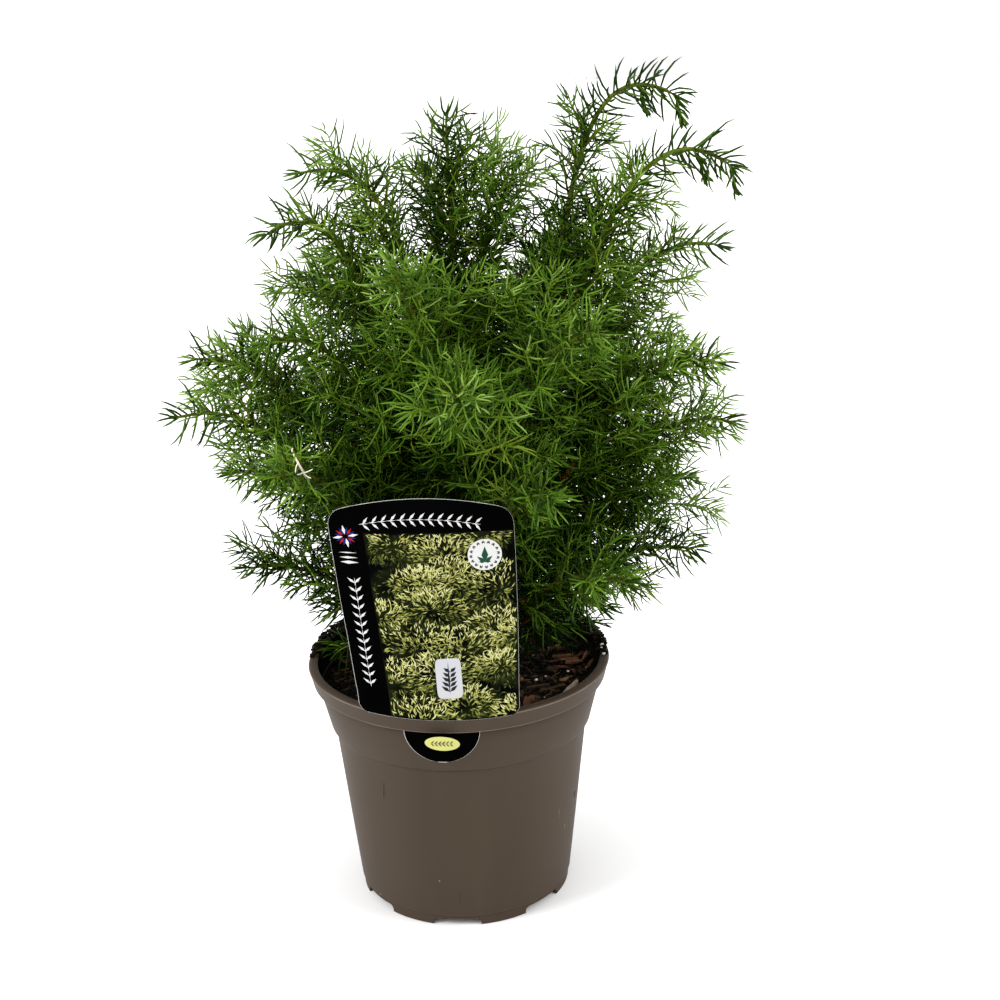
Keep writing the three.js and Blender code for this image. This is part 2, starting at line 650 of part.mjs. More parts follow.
addPart('pot', potSolid(), TAUPE_PLASTIC);
addPart('compost', compostSolid(), DARK_COMPOST);
addPart('label', labelSolid(), PRINTED_CARD);
addPart('trunk', trunkSolid(0), BROWN_BARK);

const crown = new Crown();
crown.layLimbs();
crown.layTwigs();
crown.layNeedles();
crown.rows.forEach((row) => {
  if (row.limb) addPart(`bough_${row.name}`, crown.boughSolid(row), GREEN_BARK);
  addPart(`foliage_${row.name}`, crown.massSolid(row), GREEN_NEEDLES);
});

export default plant;
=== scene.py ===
import logging
import math
from dataclasses import dataclass, field, replace
from enum import Enum, IntEnum

import bpy
import numpy as np
from mathutils import Matrix, Vector, noise


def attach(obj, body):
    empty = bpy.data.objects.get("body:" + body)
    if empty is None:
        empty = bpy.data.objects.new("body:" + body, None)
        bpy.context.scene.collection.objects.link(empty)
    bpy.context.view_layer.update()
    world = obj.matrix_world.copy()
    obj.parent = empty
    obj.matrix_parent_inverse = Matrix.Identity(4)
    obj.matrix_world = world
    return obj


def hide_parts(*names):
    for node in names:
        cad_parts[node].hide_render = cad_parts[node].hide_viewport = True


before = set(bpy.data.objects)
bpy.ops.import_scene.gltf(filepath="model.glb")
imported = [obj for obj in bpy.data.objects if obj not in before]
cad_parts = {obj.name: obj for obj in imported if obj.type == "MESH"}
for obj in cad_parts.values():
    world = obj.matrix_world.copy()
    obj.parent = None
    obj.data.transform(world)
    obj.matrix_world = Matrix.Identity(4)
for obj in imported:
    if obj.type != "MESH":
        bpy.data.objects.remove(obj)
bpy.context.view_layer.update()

LOG = logging.getLogger("cryptomeria")

MM = 0.001  # sizes below are in millimetres, and meshes are in metres
GOLDEN_ANGLE = math.radians(137.508)
UP = np.array([0.0, 0.0, 1.0])

Pair = tuple[float, float]
Triple = tuple[float, float, float]
Colour = Triple
Table = tuple[tuple[float, ...], tuple[float, ...]]  # places, and the value at each
Array = np.ndarray
Dice = np.random.Generator
Piece = bpy.types.Object
Socket = bpy.types.NodeSocket


# ---- modelling helpers

def pick(*pieces: Piece) -> None:
    """Leaves only these objects selected, the last of them active."""
    if bpy.context.mode != "OBJECT":
        bpy.ops.object.mode_set(mode="OBJECT")
    bpy.ops.object.select_all(action="DESELECT")
    for piece in pieces:
        piece.select_set(True)
        bpy.context.view_layer.objects.active = piece


def named(name: str) -> Piece:
    """Names the primitive that was just added, and returns it."""
    piece = bpy.context.object
    piece.name = name
    piece.data.name = name
    return piece


def points_of(piece: Piece) -> Array:
    """Returns the piece's vertices, in millimetres, as rows of x, y and z."""
    flat = np.empty(len(piece.data.vertices) * 3)
    piece.data.vertices.foreach_get("co", flat)
    return flat.reshape(-1, 3) / MM


def move_points(piece: Piece, points: Array) -> None:
    """Gives the piece's vertices new places, in millimetres."""
    piece.data.vertices.foreach_set("co", (points * MM).ravel())
    piece.data.update()


def tidy_surface(piece: Piece, sharp: float) -> None:
    """Merges doubles, turns the faces outwards and shades them smooth.

    Args:
        piece: the mesh object.
        sharp: the angle, in degrees, past which an edge stays sharp.
    """
    pick(piece)
    bpy.ops.object.mode_set(mode="EDIT")
    bpy.ops.mesh.select_all(action="SELECT")
    bpy.ops.mesh.remove_doubles(threshold=0.004 * MM)
    bpy.ops.mesh.normals_make_consistent(inside=False)
    bpy.ops.object.mode_set(mode="OBJECT")
    bpy.ops.object.shade_smooth_by_angle(angle=math.radians(sharp))


def spun(name: str, profile: list[Pair], steps: int) -> Piece:
    """Spins a profile once round the upright axis.

    Args:
        name: the piece's name.
        profile: radius and height of each corner, from the axis and back to it.
        steps: how many flat sides the round has.

    Returns:
        The closed round piece.
    """
    pick()
    bpy.ops.mesh.primitive_plane_add(size=MM)
    piece = named(name)
    bpy.ops.object.mode_set(mode="EDIT")
    bpy.ops.mesh.merge(type="CENTER")
    bpy.ops.transform.translate(value=(profile[0][0] * MM, 0, profile[0][1] * MM))
    for (r0, z0), (r1, z1) in zip(profile, profile[1:]):
        step = ((r1 - r0) * MM, 0, (z1 - z0) * MM)
        bpy.ops.mesh.extrude_region_move(TRANSFORM_OT_translate={"value": step})
    bpy.ops.mesh.select_all(action="SELECT")
    bpy.ops.mesh.spin(steps=steps, angle=2 * math.pi, center=(0, 0, 0), axis=(0, 0, 1))
    bpy.ops.object.mode_set(mode="OBJECT")
    return piece


def apply_modifier(piece: Piece, kind: str, **settings: object) -> None:
    """Adds a modifier of a kind with these settings and applies it."""
    pick(piece)
    modifier = piece.modifiers.new(kind.lower(), kind)
    for key, value in settings.items():
        setattr(modifier, key, value)
    bpy.ops.object.modifier_apply(modifier=modifier.name)


def join_pieces(name: str, pieces: list[Piece]) -> Piece:
    """Joins objects into one, which keeps their material slots."""
    pick(*pieces)
    bpy.ops.object.join()
    return named(name)


def cut_away(piece: Piece, cutters: list[Piece]) -> None:
    """Takes the cutters' joined shape out of the piece, and removes them."""
    tool = join_pieces("cutters", cutters)
    apply_modifier(piece, "BOOLEAN", operation="DIFFERENCE", solver="EXACT", object=tool)
    bpy.data.objects.remove(tool)


def dress(piece: Piece, slot: str, *materials: bpy.types.Material,
          replaces: tuple[str, ...] = ()) -> None:
    """Gives a piece its materials, and sets it on the plant's one body.

    Args:
        piece: the finished mesh object.
        slot: not used.
        *materials: what its faces are dealt, by number.
        replaces: the CAD nodes that it stands for.
    """
    for material in materials:
        piece.data.materials.append(material)
    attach(piece, "root")
    if replaces:
        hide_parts(*replaces)
    faces = sum(len(face.vertices) - 2 for face in piece.data.polygons)
    LOG.info("%s: %d triangles", piece.name, faces)


class Heap:
    """Triangles of one kind, gathered from many small shapes into one mesh."""

    def __init__(self) -> None:
        """Starts an empty heap."""
        self.points: list[Array] = []
        self.corners: list[Array] = []
        self.tints: list[Array] = []
        self.count = 0

    def add(self, points: Array, corners: Array, tints: int | Array = 0) -> None:
        """Adds vertices in millimetres, triangles that index them, and each triangle's material."""
        self.points.append(points)
        self.corners.append(corners + self.count)
        self.tints.append(np.broadcast_to(tints, len(corners)))
        self.count += len(points)

    def stamp(self, shape: Array, corners: Array, tints: int | Array = 0) -> None:
        """Adds many copies of one shape.

        Args:
            shape: vertices of every copy, as copies by vertices by x, y and z.
            corners: the triangles of one copy.
            tints: one material for all, or one for each copy.
        """
        copies, size = shape.shape[:2]
        starts = (np.arange(copies) * size)[:, None, None]
        tints = np.repeat(np.broadcast_to(tints, copies), len(corners))
        self.add(shape.reshape(-1, 3), (corners[None] + starts).reshape(-1, 3), tints)

    def piece(self, name: str, smooth: bool) -> Piece:
        """Returns the heap as one mesh object in the scene, shaded smooth or flat."""
        corners = np.concatenate(self.corners)
        mesh = bpy.data.meshes.new(name)
        mesh.vertices.add(self.count)
        mesh.vertices.foreach_set("co", (np.concatenate(self.points) * MM).ravel())
        mesh.loops.add(corners.size)
        mesh.loops.foreach_set("vertex_index", corners.ravel())
        mesh.polygons.add(len(corners))
        mesh.polygons.foreach_set("loop_start", np.arange(0, corners.size, 3))
        mesh.polygons.foreach_set("material_index", np.concatenate(self.tints))
        mesh.polygons.foreach_set("use_smooth", np.full(len(corners), smooth))
        mesh.update(calc_edges=True)
        piece = bpy.data.objects.new(name, mesh)
        bpy.context.scene.collection.objects.link(piece)
        return piece


def model_shape(name: str) -> tuple[Array, Array]:
    """Takes the primitive that was just added out of the scene, as vertices and triangles."""
    piece = named(name)
    apply_modifier(piece, "TRIANGULATE")
    points = points_of(piece) * MM
    corners = np.array([tuple(face.vertices) for face in piece.data.polygons])
    bpy.data.objects.remove(piece)
    return points, corners


# ---- finishes

def srgb(red: int, green: int, blue: int) -> Colour:
    """Turns a colour in screen units into the linear light that shaders take."""
    def linear(level: int) -> float:
        """Returns one channel as linear light."""
        share = level / 255
        return share / 12.92 if share <= 0.04045 else ((share + 0.055) / 1.055) ** 2.4
    return linear(red), linear(green), linear(blue)


class Wiring:
    """The nodes of one material, with the few kinds that the finishes are made of."""

    def __init__(self, material: bpy.types.Material) -> None:
        """Takes a new material's nodes and adds the object coordinates to them."""
        material.use_nodes = True
        self.nodes, self.links = material.node_tree.nodes, material.node_tree.links
        self.shader = self.nodes["Principled BSDF"].inputs
        self.where = self.nodes.new("ShaderNodeTexCoord").outputs["Object"]

    def mapped(self, stretch: Colour = (1.0, 1.0, 1.0)) -> Socket:
        """Returns the object coordinates, each scaled by its own factor."""
        mapping = self.nodes.new("ShaderNodeMapping")
        mapping.inputs["Scale"].default_value = stretch
        self.links.new(self.where, mapping.inputs["Vector"])
        return mapping.outputs["Vector"]

    def noise(self, vector: Socket, scale: float, detail: float) -> Socket:
        """Returns the value of a noise texture, with so many patches per metre and finer layers."""
        texture = self.nodes.new("ShaderNodeTexNoise")
        texture.inputs["Scale"].default_value = scale
        texture.inputs["Detail"].default_value = detail
        self.links.new(vector, texture.inputs["Vector"])
        return texture.outputs["Fac"]

    def reckon(self, operation: str, *values: Socket | float) -> Socket:
        """Returns the result of a Math node for these sockets and numbers."""
        node = self.nodes.new("ShaderNodeMath")
        node.operation = operation
        for socket, value in zip(node.inputs, values):
            if isinstance(value, float):
                socket.default_value = value
            else:
                self.links.new(value, socket)
        return node.outputs[0]

    def mixed(self, colour: Socket, other: Colour, share: Socket) -> Socket:
        """Mixes a second colour in.

        Args:
            colour: the first colour.
            other: the second one.
            share: how much there is of the second one, from 0 to 1.

        Returns:
            The mixed colour.
        """
        mix = self.nodes.new("ShaderNodeMix")
        mix.data_type = "RGBA"
        shares = [socket for socket in mix.inputs if socket.name == "Factor" and socket.type == "VALUE"]
        colours = [socket for socket in mix.inputs if socket.type == "RGBA"]
        self.links.new(share, shares[0])
        self.links.new(colour, colours[0])
        colours[1].default_value = (*other, 1)
        return next(socket for socket in mix.outputs if socket.type == "RGBA")


@dataclass(frozen=True)
class Finish:
    """A surface with two mottled colours and a fine relief, both read in object space."""

    name: str
    dark: Colour
    light: Colour
    roughness: float
    mottle: float = 60.0  # patches per metre
    mottle_detail: float = 4.0
    stretch: Colour = (1.0, 1.0, 1.0)
    grain: float = 900.0  # relief per metre
    grain_detail: float = 3.0
    relief: float = 0.0  # depth of the relief, in millimetres
    gloss: float = 0.5  # strength of the reflection
    contrast: float = 0.5  # share of the mottling's range that blends

    def material(self) -> bpy.types.Material:
        """Builds the material."""
        material = bpy.data.materials.new(self.name)
        wiring = Wiring(material)
        wiring.shader["Roughness"].default_value = self.roughness
        wiring.shader["Specular IOR Level"].default_value = self.gloss
        place = wiring.mapped(self.stretch)
        ramp = wiring.nodes.new("ShaderNodeValToRGB")
        low, high = ramp.color_ramp.elements
        low.position, high.position = 0.5 - self.contrast / 2, 0.5 + self.contrast / 2
        low.color, high.color = (*self.dark, 1), (*self.light, 1)
        wiring.links.new(wiring.noise(place, self.mottle, self.mottle_detail), ramp.inputs["Fac"])
        wiring.links.new(self.tinted(wiring, ramp.outputs["Color"]), wiring.shader["Base Color"])
        if self.relief:
            bump = wiring.nodes.new("ShaderNodeBump")
            bump.inputs["Distance"].default_value = self.relief * MM
            wiring.links.new(wiring.noise(place, self.grain, self.grain_detail), bump.inputs["Height"])
            wiring.links.new(bump.outputs["Normal"], wiring.shader["Normal"])
        return material

    def tinted(self, wiring: Wiring, colour: Socket) -> Socket:
        """Returns the colour as it is: a finish of another class tints it further."""
        return colour


@dataclass(frozen=True)
class WornAndShadedPlastic(Finish):
    """Moulded plastic: paler along some heights with wear and painted highlight, with painted shadow under
    its skirt and at its collar, and a compost stain with painted shade inside its rim.
    """

    # pale lines at the parting line, the skirt's edge and the foot: partly wear, partly painted highlight
    # along edges
    pale: Colour = (0.2, 0.2, 0.2)
    wear_and_highlight_heights: tuple[float, ...] = (153.9, 144.1, 7.4)
    wear_and_highlight_width: float = 0.7
    scuffs: float = 60.0  # breaks in the pale lines per metre
    scuff_detail: float = 6.0
    # a compost stain and painted shade on the inner wall above the compost, where shade falls inside the rim
    stain_and_shade_colour: Colour = (0.004, 0.003, 0.002)
    stain_and_shade_radius: float = 89.35
    stain_and_shade_from: float = 142.3
    stain_and_shade_play: Pair = (0.4, 0.8)  # how much the stain and its painted shade vary, and their least share
    # painted shadow: the colour that darkens the collar below the skirt's overhang, and the line at the
    # collar's step
    painted_shade: Colour = (0.012, 0.009, 0.007)
    skirt_shadow: Triple = (134.0, 144.2, 0.62)  # where the painted shadow starts and ends, and its most
    collar_shade_line: Triple = (113.5, 1.3, 0.5)  # the height, width and share of a painted shade line
    shadow_fading: float = 2.2  # the power by which the painted shadow fades downwards

    def tinted(self, wiring: Wiring, colour: Socket) -> Socket:
        """Adds the painted shadow and shade line, the pale lines of wear and painted highlight, and the inner
        stain with its painted shade, broken up by a noise.
        """
        reckon = wiring.reckon
        split = wiring.nodes.new("ShaderNodeSeparateXYZ")
        wiring.links.new(wiring.where, split.inputs["Vector"])
        x, y, height = split.outputs
        scuffs = wiring.noise(wiring.mapped(), self.scuffs, self.scuff_detail)
        wear_and_highlight = 0.0
        for place in self.wear_and_highlight_heights:
            line = reckon("COMPARE", height, place * MM, self.wear_and_highlight_width / 2 * MM)
            wear_and_highlight = reckon("MAXIMUM", wear_and_highlight, line)
        radius = reckon("POWER", reckon("ADD", reckon("POWER", x, 2.0), reckon("POWER", y, 2.0)), 0.5)
        # the inner stain with its painted shade, matted
        inside = reckon("LESS_THAN", radius, self.stain_and_shade_radius * MM)
        above = reckon("GREATER_THAN", height, self.stain_and_shade_from * MM)
        stain_and_shade_patches = reckon("MULTIPLY_ADD", scuffs, *self.stain_and_shade_play)
        stain_and_shade_share = reckon("MULTIPLY", reckon("MULTIPLY", inside, above), stain_and_shade_patches)
        matt = reckon("MULTIPLY_ADD", stain_and_shade_share, -self.gloss, self.gloss)
        wiring.links.new(matt, wiring.shader["Specular IOR Level"])
        # painted shadow below the skirt, and painted shade line at the collar
        colour = wiring.mixed(colour, self.painted_shade, self.painted_shade_share(wiring, height))
        # pale lines of wear and painted highlight, broken up by the noise
        colour = wiring.mixed(colour, self.pale, reckon("MULTIPLY", wear_and_highlight, scuffs))
        return wiring.mixed(colour, self.stain_and_shade_colour, stain_and_shade_share)

    def painted_shade_share(self, wiring: Wiring, height: Socket) -> Socket:
        """Returns the share of painted shade: a painted shadow that fades down from the skirt, and a painted
        shade line at the collar.
        """
        reckon = wiring.reckon
        low, high, most = self.skirt_shadow
        band = wiring.nodes.new("ShaderNodeMapRange")
        band.inputs["From Min"].default_value, band.inputs["From Max"].default_value = low * MM, high * MM
        wiring.links.new(height, band.inputs["Value"])
        faded = reckon("POWER", band.outputs["Result"], self.shadow_fading)
        below = reckon("LESS_THAN", height, high * MM)
        strength = reckon("MULTIPLY", reckon("MULTIPLY", faded, below), most)
        place, width, share = self.collar_shade_line
        line = reckon("COMPARE", height, place * MM, width / 2 * MM)
        return reckon("MAXIMUM", strength, reckon("MULTIPLY", line, share))


def ink(name: str, dark: Colour, light: Colour, roughness: float = 0.45, gloss: float = 0.1) -> Finish:
    """Returns the finish of a printed or bare part of the card."""
    return Finish(name, dark, light, roughness, mottle=20.0, gloss=gloss)


POT_PLASTIC = WornAndShadedPlastic(
    "taupe_pot_plastic", srgb(55, 44, 33), srgb(64, 52, 39), 0.55, mottle=26.0, stretch=(1.0, 1.0, 0.12),
    grain=1600.0, relief=0.05, gloss=0.18, contrast=0.7, pale=srgb(132, 114, 98))
POT_SCUFF = Finish("pale_pot_scuff", srgb(104, 92, 80), srgb(130, 118, 104), 0.6)
POT_SCAR = Finish("dark_pot_scar", srgb(32, 26, 21), srgb(42, 35, 28), 0.7, gloss=0.2)
DARK_COMPOST = Finish("damp_compost", srgb(8, 6, 4), srgb(30, 22, 14), 0.9,
                      mottle=260.0, grain=700.0, relief=1.2, gloss=0.08, contrast=0.4)
CRUMBS = tuple(
    Finish(name, srgb(*dark), srgb(*light), roughness, mottle=mottle, gloss=gloss)
    for name, dark, light, roughness, mottle, gloss in (
        ("black_crumbs", (5, 4, 2), (22, 17, 11), 0.85, 400.0, 0.06),
        ("brown_crumbs", (36, 26, 16), (66, 48, 30), 0.85, 400.0, 0.2),
        ("red_bark_chips", (62, 36, 22), (100, 64, 40), 0.8, 300.0, 0.2),
        ("orange_bark_chips", (96, 62, 36), (152, 108, 68), 0.8, 300.0, 0.2),
        ("white_perlite", (186, 182, 170), (226, 223, 213), 0.9, 300.0, 0.2),
        ("pale_bark_chip", (116, 100, 84), (158, 142, 124), 0.8, 300.0, 0.2),
    ))
TRUNK_BARK = Finish("grey_brown_bark", srgb(50, 36, 24), srgb(106, 80, 54), 0.85, mottle=180.0,
                    stretch=(1.0, 1.0, 0.22), grain=900.0, relief=0.5, gloss=0.2, contrast=0.45)
BOUGH_BARK = Finish("brown_bough_bark", srgb(54, 40, 22), srgb(92, 70, 38), 0.8, mottle=220.0,
                    stretch=(1.0, 1.0, 0.5), grain=1200.0, relief=0.3, gloss=0.2)
TWIG_BARKS = (
    Finish("brown_twig_bark", srgb(82, 50, 20), srgb(146, 84, 40), 0.8, mottle=70.0, gloss=0.1, contrast=0.3),
    Finish("olive_twig_skin", srgb(56, 66, 13), srgb(86, 100, 20), 0.7, mottle=60.0, gloss=0.1, contrast=0.3),
    Finish("young_twig_skin", srgb(84, 116, 14), srgb(108, 134, 26), 0.6, mottle=40.0, gloss=0.12),
)
DEAD_WOOD = Finish("bleached_dead_twig", srgb(226, 216, 196), srgb(244, 238, 226), 0.8,
                   mottle=200.0, gloss=0.2)
DRY_NEEDLES = Finish("dry_fallen_needles", srgb(58, 42, 24), srgb(96, 70, 42), 0.75, mottle=40.0, gloss=0.2)
# the needles' greens: a ladder from painted shade (darkest) to painted light and highlight (palest), and a
# yellow green that is their own tone
NEEDLE_GREENS = tuple(
    Finish(name, srgb(*dark), srgb(*light), roughness, mottle=14.0, gloss=gloss)
    for name, dark, light, roughness, gloss in (
        ("shaded_green_needles", (7, 22, 0), (12, 30, 1), 0.5, 0.05),
        ("deep_green_needles", (27, 51, 1), (38, 64, 2), 0.5, 0.07),
        ("full_green_needles", (58, 90, 11), (71, 103, 16), 0.48, 0.14),
        ("fresh_green_needles", (88, 122, 24), (102, 136, 36), 0.46, 0.16),
        ("bright_green_needles", (118, 150, 60), (138, 168, 80), 0.45, 0.18),
        ("yellow_green_needles", (104, 128, 28), (122, 142, 40), 0.48, 0.14),
    ))
PICTURE_SHADE = Finish("olive_print_shade", srgb(4, 6, 5), srgb(22, 26, 12), 0.6,
                       mottle=90.0, gloss=0.0, contrast=0.2)
PICTURE_LEAVES = tuple(
    Finish(name, srgb(*dark), srgb(*light), 0.5, gloss=0.04) for name, dark, light in (
        ("shaded_olive_print", (26, 34, 8), (42, 48, 14)),
        ("dark_olive_print", (74, 80, 32), (90, 96, 40)),
        ("olive_print", (120, 124, 60), (136, 138, 68)),
        ("yellow_green_print", (156, 156, 90), (170, 170, 98)),
        ("pale_yellow_print", (186, 186, 128), (200, 198, 140)),
    ))
CARD_WHITE = ink("white_card", srgb(190, 190, 186), srgb(204, 204, 200), gloss=0.2)
CARD_BLACK = ink("black_print", srgb(2, 2, 2), srgb(5, 5, 5), 0.6, 0.0)
ORNAMENT_WHITE = ink("white_print", srgb(198, 198, 196), srgb(206, 206, 204))
ORNAMENT_GREY = ink("pale_grey_print", srgb(176, 177, 182), srgb(186, 186, 190))
ORNAMENT_GREEN = ink("green_print", srgb(10, 62, 42), srgb(14, 70, 48))
ORNAMENT_RED = ink("red_print", srgb(150, 16, 26), srgb(164, 22, 32), 0.5, 0.05)
ORNAMENT_BLUE = ink("blue_print", srgb(22, 26, 84), srgb(30, 34, 98), 0.5, 0.05)
ORNAMENT_DARK = ink("dark_grey_print", srgb(22, 24, 26), srgb(30, 32, 34))
ORNAMENT_CREAM = ink("cream_print", srgb(184, 184, 108), srgb(196, 194, 118))


# ---- the pot

@dataclass
class NurseryPot:
    """The round pot: a turned shell, its foot notches, drain holes and the slit for the label."""

    steps: int = 144
    sharp: float = 30.0  # the angle past which an edge stays sharp
    height: float = 155.0
    wall: float = 2.0
    ledge: float = 1.8
    foot_inner: float = 62.5
    foot_radius: float = 67.4
    foot_height: float = 7.5
    floor: float = 6.0
    body_foot: Pair = (68.7, 7.9)  # radius and height
    body_top: Pair = (80.1, 111.6)
    collar_top: float = 144.0
    collar_radius: float = 89.9
    rim_inner: float = 89.2
    parting_line: float = 153.8
    parting_radius: float = 95.25
    notches: int = 7
    notch_size: Triple = (12.0, 30.0, 9.2)
    notch_round: float = 3.2
    notch_circle: float = 66.0
    notch_start: float = -96.0  # degrees
    drains: int = 4
    drain_radius: float = 6.0
    drain_circle: float = 42.0
    drain_span: Pair = (1.0, 9.0)
    slot_radius: float = 90.65
    slot_half: float = 0.6
    slot_span: Pair = (-34.9, 11.4)
    slot_height: float = 151.0
    slot_depth: float = 10.0
    mark_depth: float = 0.12
    scars: tuple[tuple[float, ...], ...] = (
        (-20.5, 64.0, -20.5, 70.0, 4.0), (-129.5, 86.0, -127.0, 107.5, 0.35),
        (-94.0, 18.0, -93.6, 30.0, 0.25))
    scratches: tuple[tuple[float, ...], ...] = (
        (-144.5, 8.4, -142.8, 9.2, 0.7), (-104.0, 33.0, -103.6, 34.2, 0.7), (-38.0, 60.0, -38.6, 71.0, 0.4),
        (-31.0, 48.0, -31.2, 54.0, 0.4), (152.0, 40.0, 151.0, 66.0, 0.5), (64.0, 84.0, 65.0, 97.0, 0.5))

    def profile(self) -> list[Pair]:
        """Returns the shell's section: underside, foot, body, collar, skirt, lip and inner wall."""
        under = self.height - self.ledge
        inside = self.floor - self.wall
        line, radius, top = self.parting_line, self.collar_radius, self.collar_top
        return [
            (0, 0), (15, 0), (15, inside), (self.foot_inner, inside), (63.5, 0), (66.9, 0),
            (self.foot_radius, 0.5), (self.foot_radius, 7.1), (67.7, self.foot_height),
            (68.3, self.foot_height), self.body_foot, (72.6, 43), (76.4, 78), self.body_top,
            (80.35, 112.5), (81.0, 113.3), (82.4, 114.6), (83.0, 115.6), (86.4, 129.6), (radius, 143.7),
            (radius, top), (radius, under), (93.8, under), (91.4, top), (92.5, top),
            (92.7, 144.4), (94.8, line - 0.5), (self.parting_radius, line), (94.9, line + 0.4),
            (94.5, 154.65), (93.8, 154.93), (93.0, self.height), (90.0, self.height), (89.5, 154.8),
            (self.rim_inner, 154.3), (87.9, top), (78.2, 112.3), (66.7, 8.5), (66.0, self.floor),
            (0, self.floor),
        ]

    def notch(self, turn: float) -> Piece:
        """Returns the cutter of one low arch through the foot ring, at an azimuth in degrees."""
        pick()
        bpy.ops.mesh.primitive_cube_add(size=1, scale=tuple(size * MM for size in self.notch_size))
        cutter = named("notch_cutter")
        bpy.ops.object.transform_apply(scale=True)
        apply_modifier(cutter, "BEVEL", width=self.notch_round * MM, segments=5, limit_method="ANGLE",
                       affect="EDGES")
        middle = Vector((self.notch_circle * MM, 0, 0))
        cutter.matrix_world = Matrix.Rotation(math.radians(turn), 4, "Z") @ Matrix.Translation(middle)
        return cutter

    def drain(self, turn: float) -> Piece:
        """Returns the cutter of one drain hole through the floor, at an azimuth in radians."""
        pick()
        low, high = self.drain_span
        place = (self.drain_circle * math.cos(turn), self.drain_circle * math.sin(turn), (low + high) / 2)
        bpy.ops.mesh.primitive_cylinder_add(vertices=32, radius=self.drain_radius * MM,
                                            depth=(high - low) * MM, location=[part * MM for part in place])
        return named("drain_cutter")

    def slot(self) -> Piece:
        """Returns the cutter of the curved slit in the ledge."""
        pick()
        bpy.ops.mesh.primitive_grid_add(x_subdivisions=24, y_subdivisions=1, size=2)
        cutter = named("slot_cutter")
        flat = points_of(cutter) * MM
        x = np.interp(flat[:, 0], (-1, 1), self.slot_span)
        radius = self.slot_radius + flat[:, 1] * self.slot_half
        z = np.full(len(x), self.slot_height)
        move_points(cutter, np.stack([x, -np.sqrt(radius**2 - x**2), z], axis=1))
        apply_modifier(cutter, "SOLIDIFY", thickness=self.slot_depth * MM, offset=0)
        return cutter

    def build(self) -> None:
        """Models the shell, dresses it, and adds the marks that moulding and handling left."""
        shell = spun("pot_shell", self.profile(), self.steps)
        tidy_surface(shell, self.sharp)
        cutters = [self.notch(self.notch_start + 360 * i / self.notches) for i in range(self.notches)]
        cutters += [self.drain(2 * math.pi * (i + 0.5) / self.drains) for i in range(self.drains)]
        cutters.append(self.slot())
        cut_away(shell, cutters)
        pick(shell)
        bpy.ops.object.shade_smooth_by_angle(angle=math.radians(self.sharp))
        dress(shell, "pot_plastic", POT_PLASTIC.material(), replaces=("pot",))
        dark = [self.mark(*scar) for scar in self.scars]
        dress(join_pieces("pot_scars", dark), "pot_plastic", POT_SCAR.material())
        pale = [self.mark(*scratch) for scratch in self.scratches]
        dress(join_pieces("pot_scratches", pale), "pot_plastic", POT_SCUFF.material())

    def mark(self, turn: float, low: float, end_turn: float, high: float, width: float) -> Piece:
        """Models one thin mark on the body's outside.

        Args:
            turn: the azimuth of its lower end, in degrees.
            low: the height of its lower end.
            end_turn: the azimuth of its upper end.
            high: the height of its upper end.
            width: its width.

        Returns:
            The mark.
        """
        heights, radii = zip(self.body_foot[::-1], self.body_top[::-1])
        ends = []
        for azimuth, z in ((math.radians(turn), low), (math.radians(end_turn), high)):
            radius = float(np.interp(z, heights, radii))
            ends.append(Vector((radius * math.cos(azimuth), radius * math.sin(azimuth), z)) * MM)
        pick()
        bpy.ops.mesh.primitive_uv_sphere_add(segments=12, ring_count=8, radius=1)
        piece = named("mark")
        along = ends[1] - ends[0]
        out = Vector((ends[0].x, ends[0].y, 0)).normalized()
        side = along.cross(out).normalized()
        turned = Matrix((side, out, along.normalized())).transposed().to_4x4()
        size = Matrix.Diagonal((width / 2 * MM, self.mark_depth * MM, along.length / 2, 1))
        piece.matrix_world = Matrix.Translation((ends[0] + ends[1]) / 2) @ turned @ size
        bpy.ops.object.transform_apply()
        return piece


# ---- the compost

class Bit(IntEnum):
    """What lies on the compost, in the order of its materials."""

    BLACK = 0
    BROWN = 1
    RED = 2
    ORANGE = 3
    PERLITE = 4
    PALE = 5


@dataclass(frozen=True)
class Scatter:
    """One kind of litter: half-sizes in millimetres, and the largest tilt in radians."""

    count: int
    channel: int  # sets its dice apart
    smallest: Triple
    largest: Triple
    tilt: float
    tints: tuple[Bit, ...]  # they are dealt evenly


@dataclass(frozen=True)
class Chip:
    """One bark chip or grain in a place of its own: yaw in degrees, pitch in radians."""

    place: Triple
    half: Triple
    yaw: float
    pitch: float
    tint: Bit


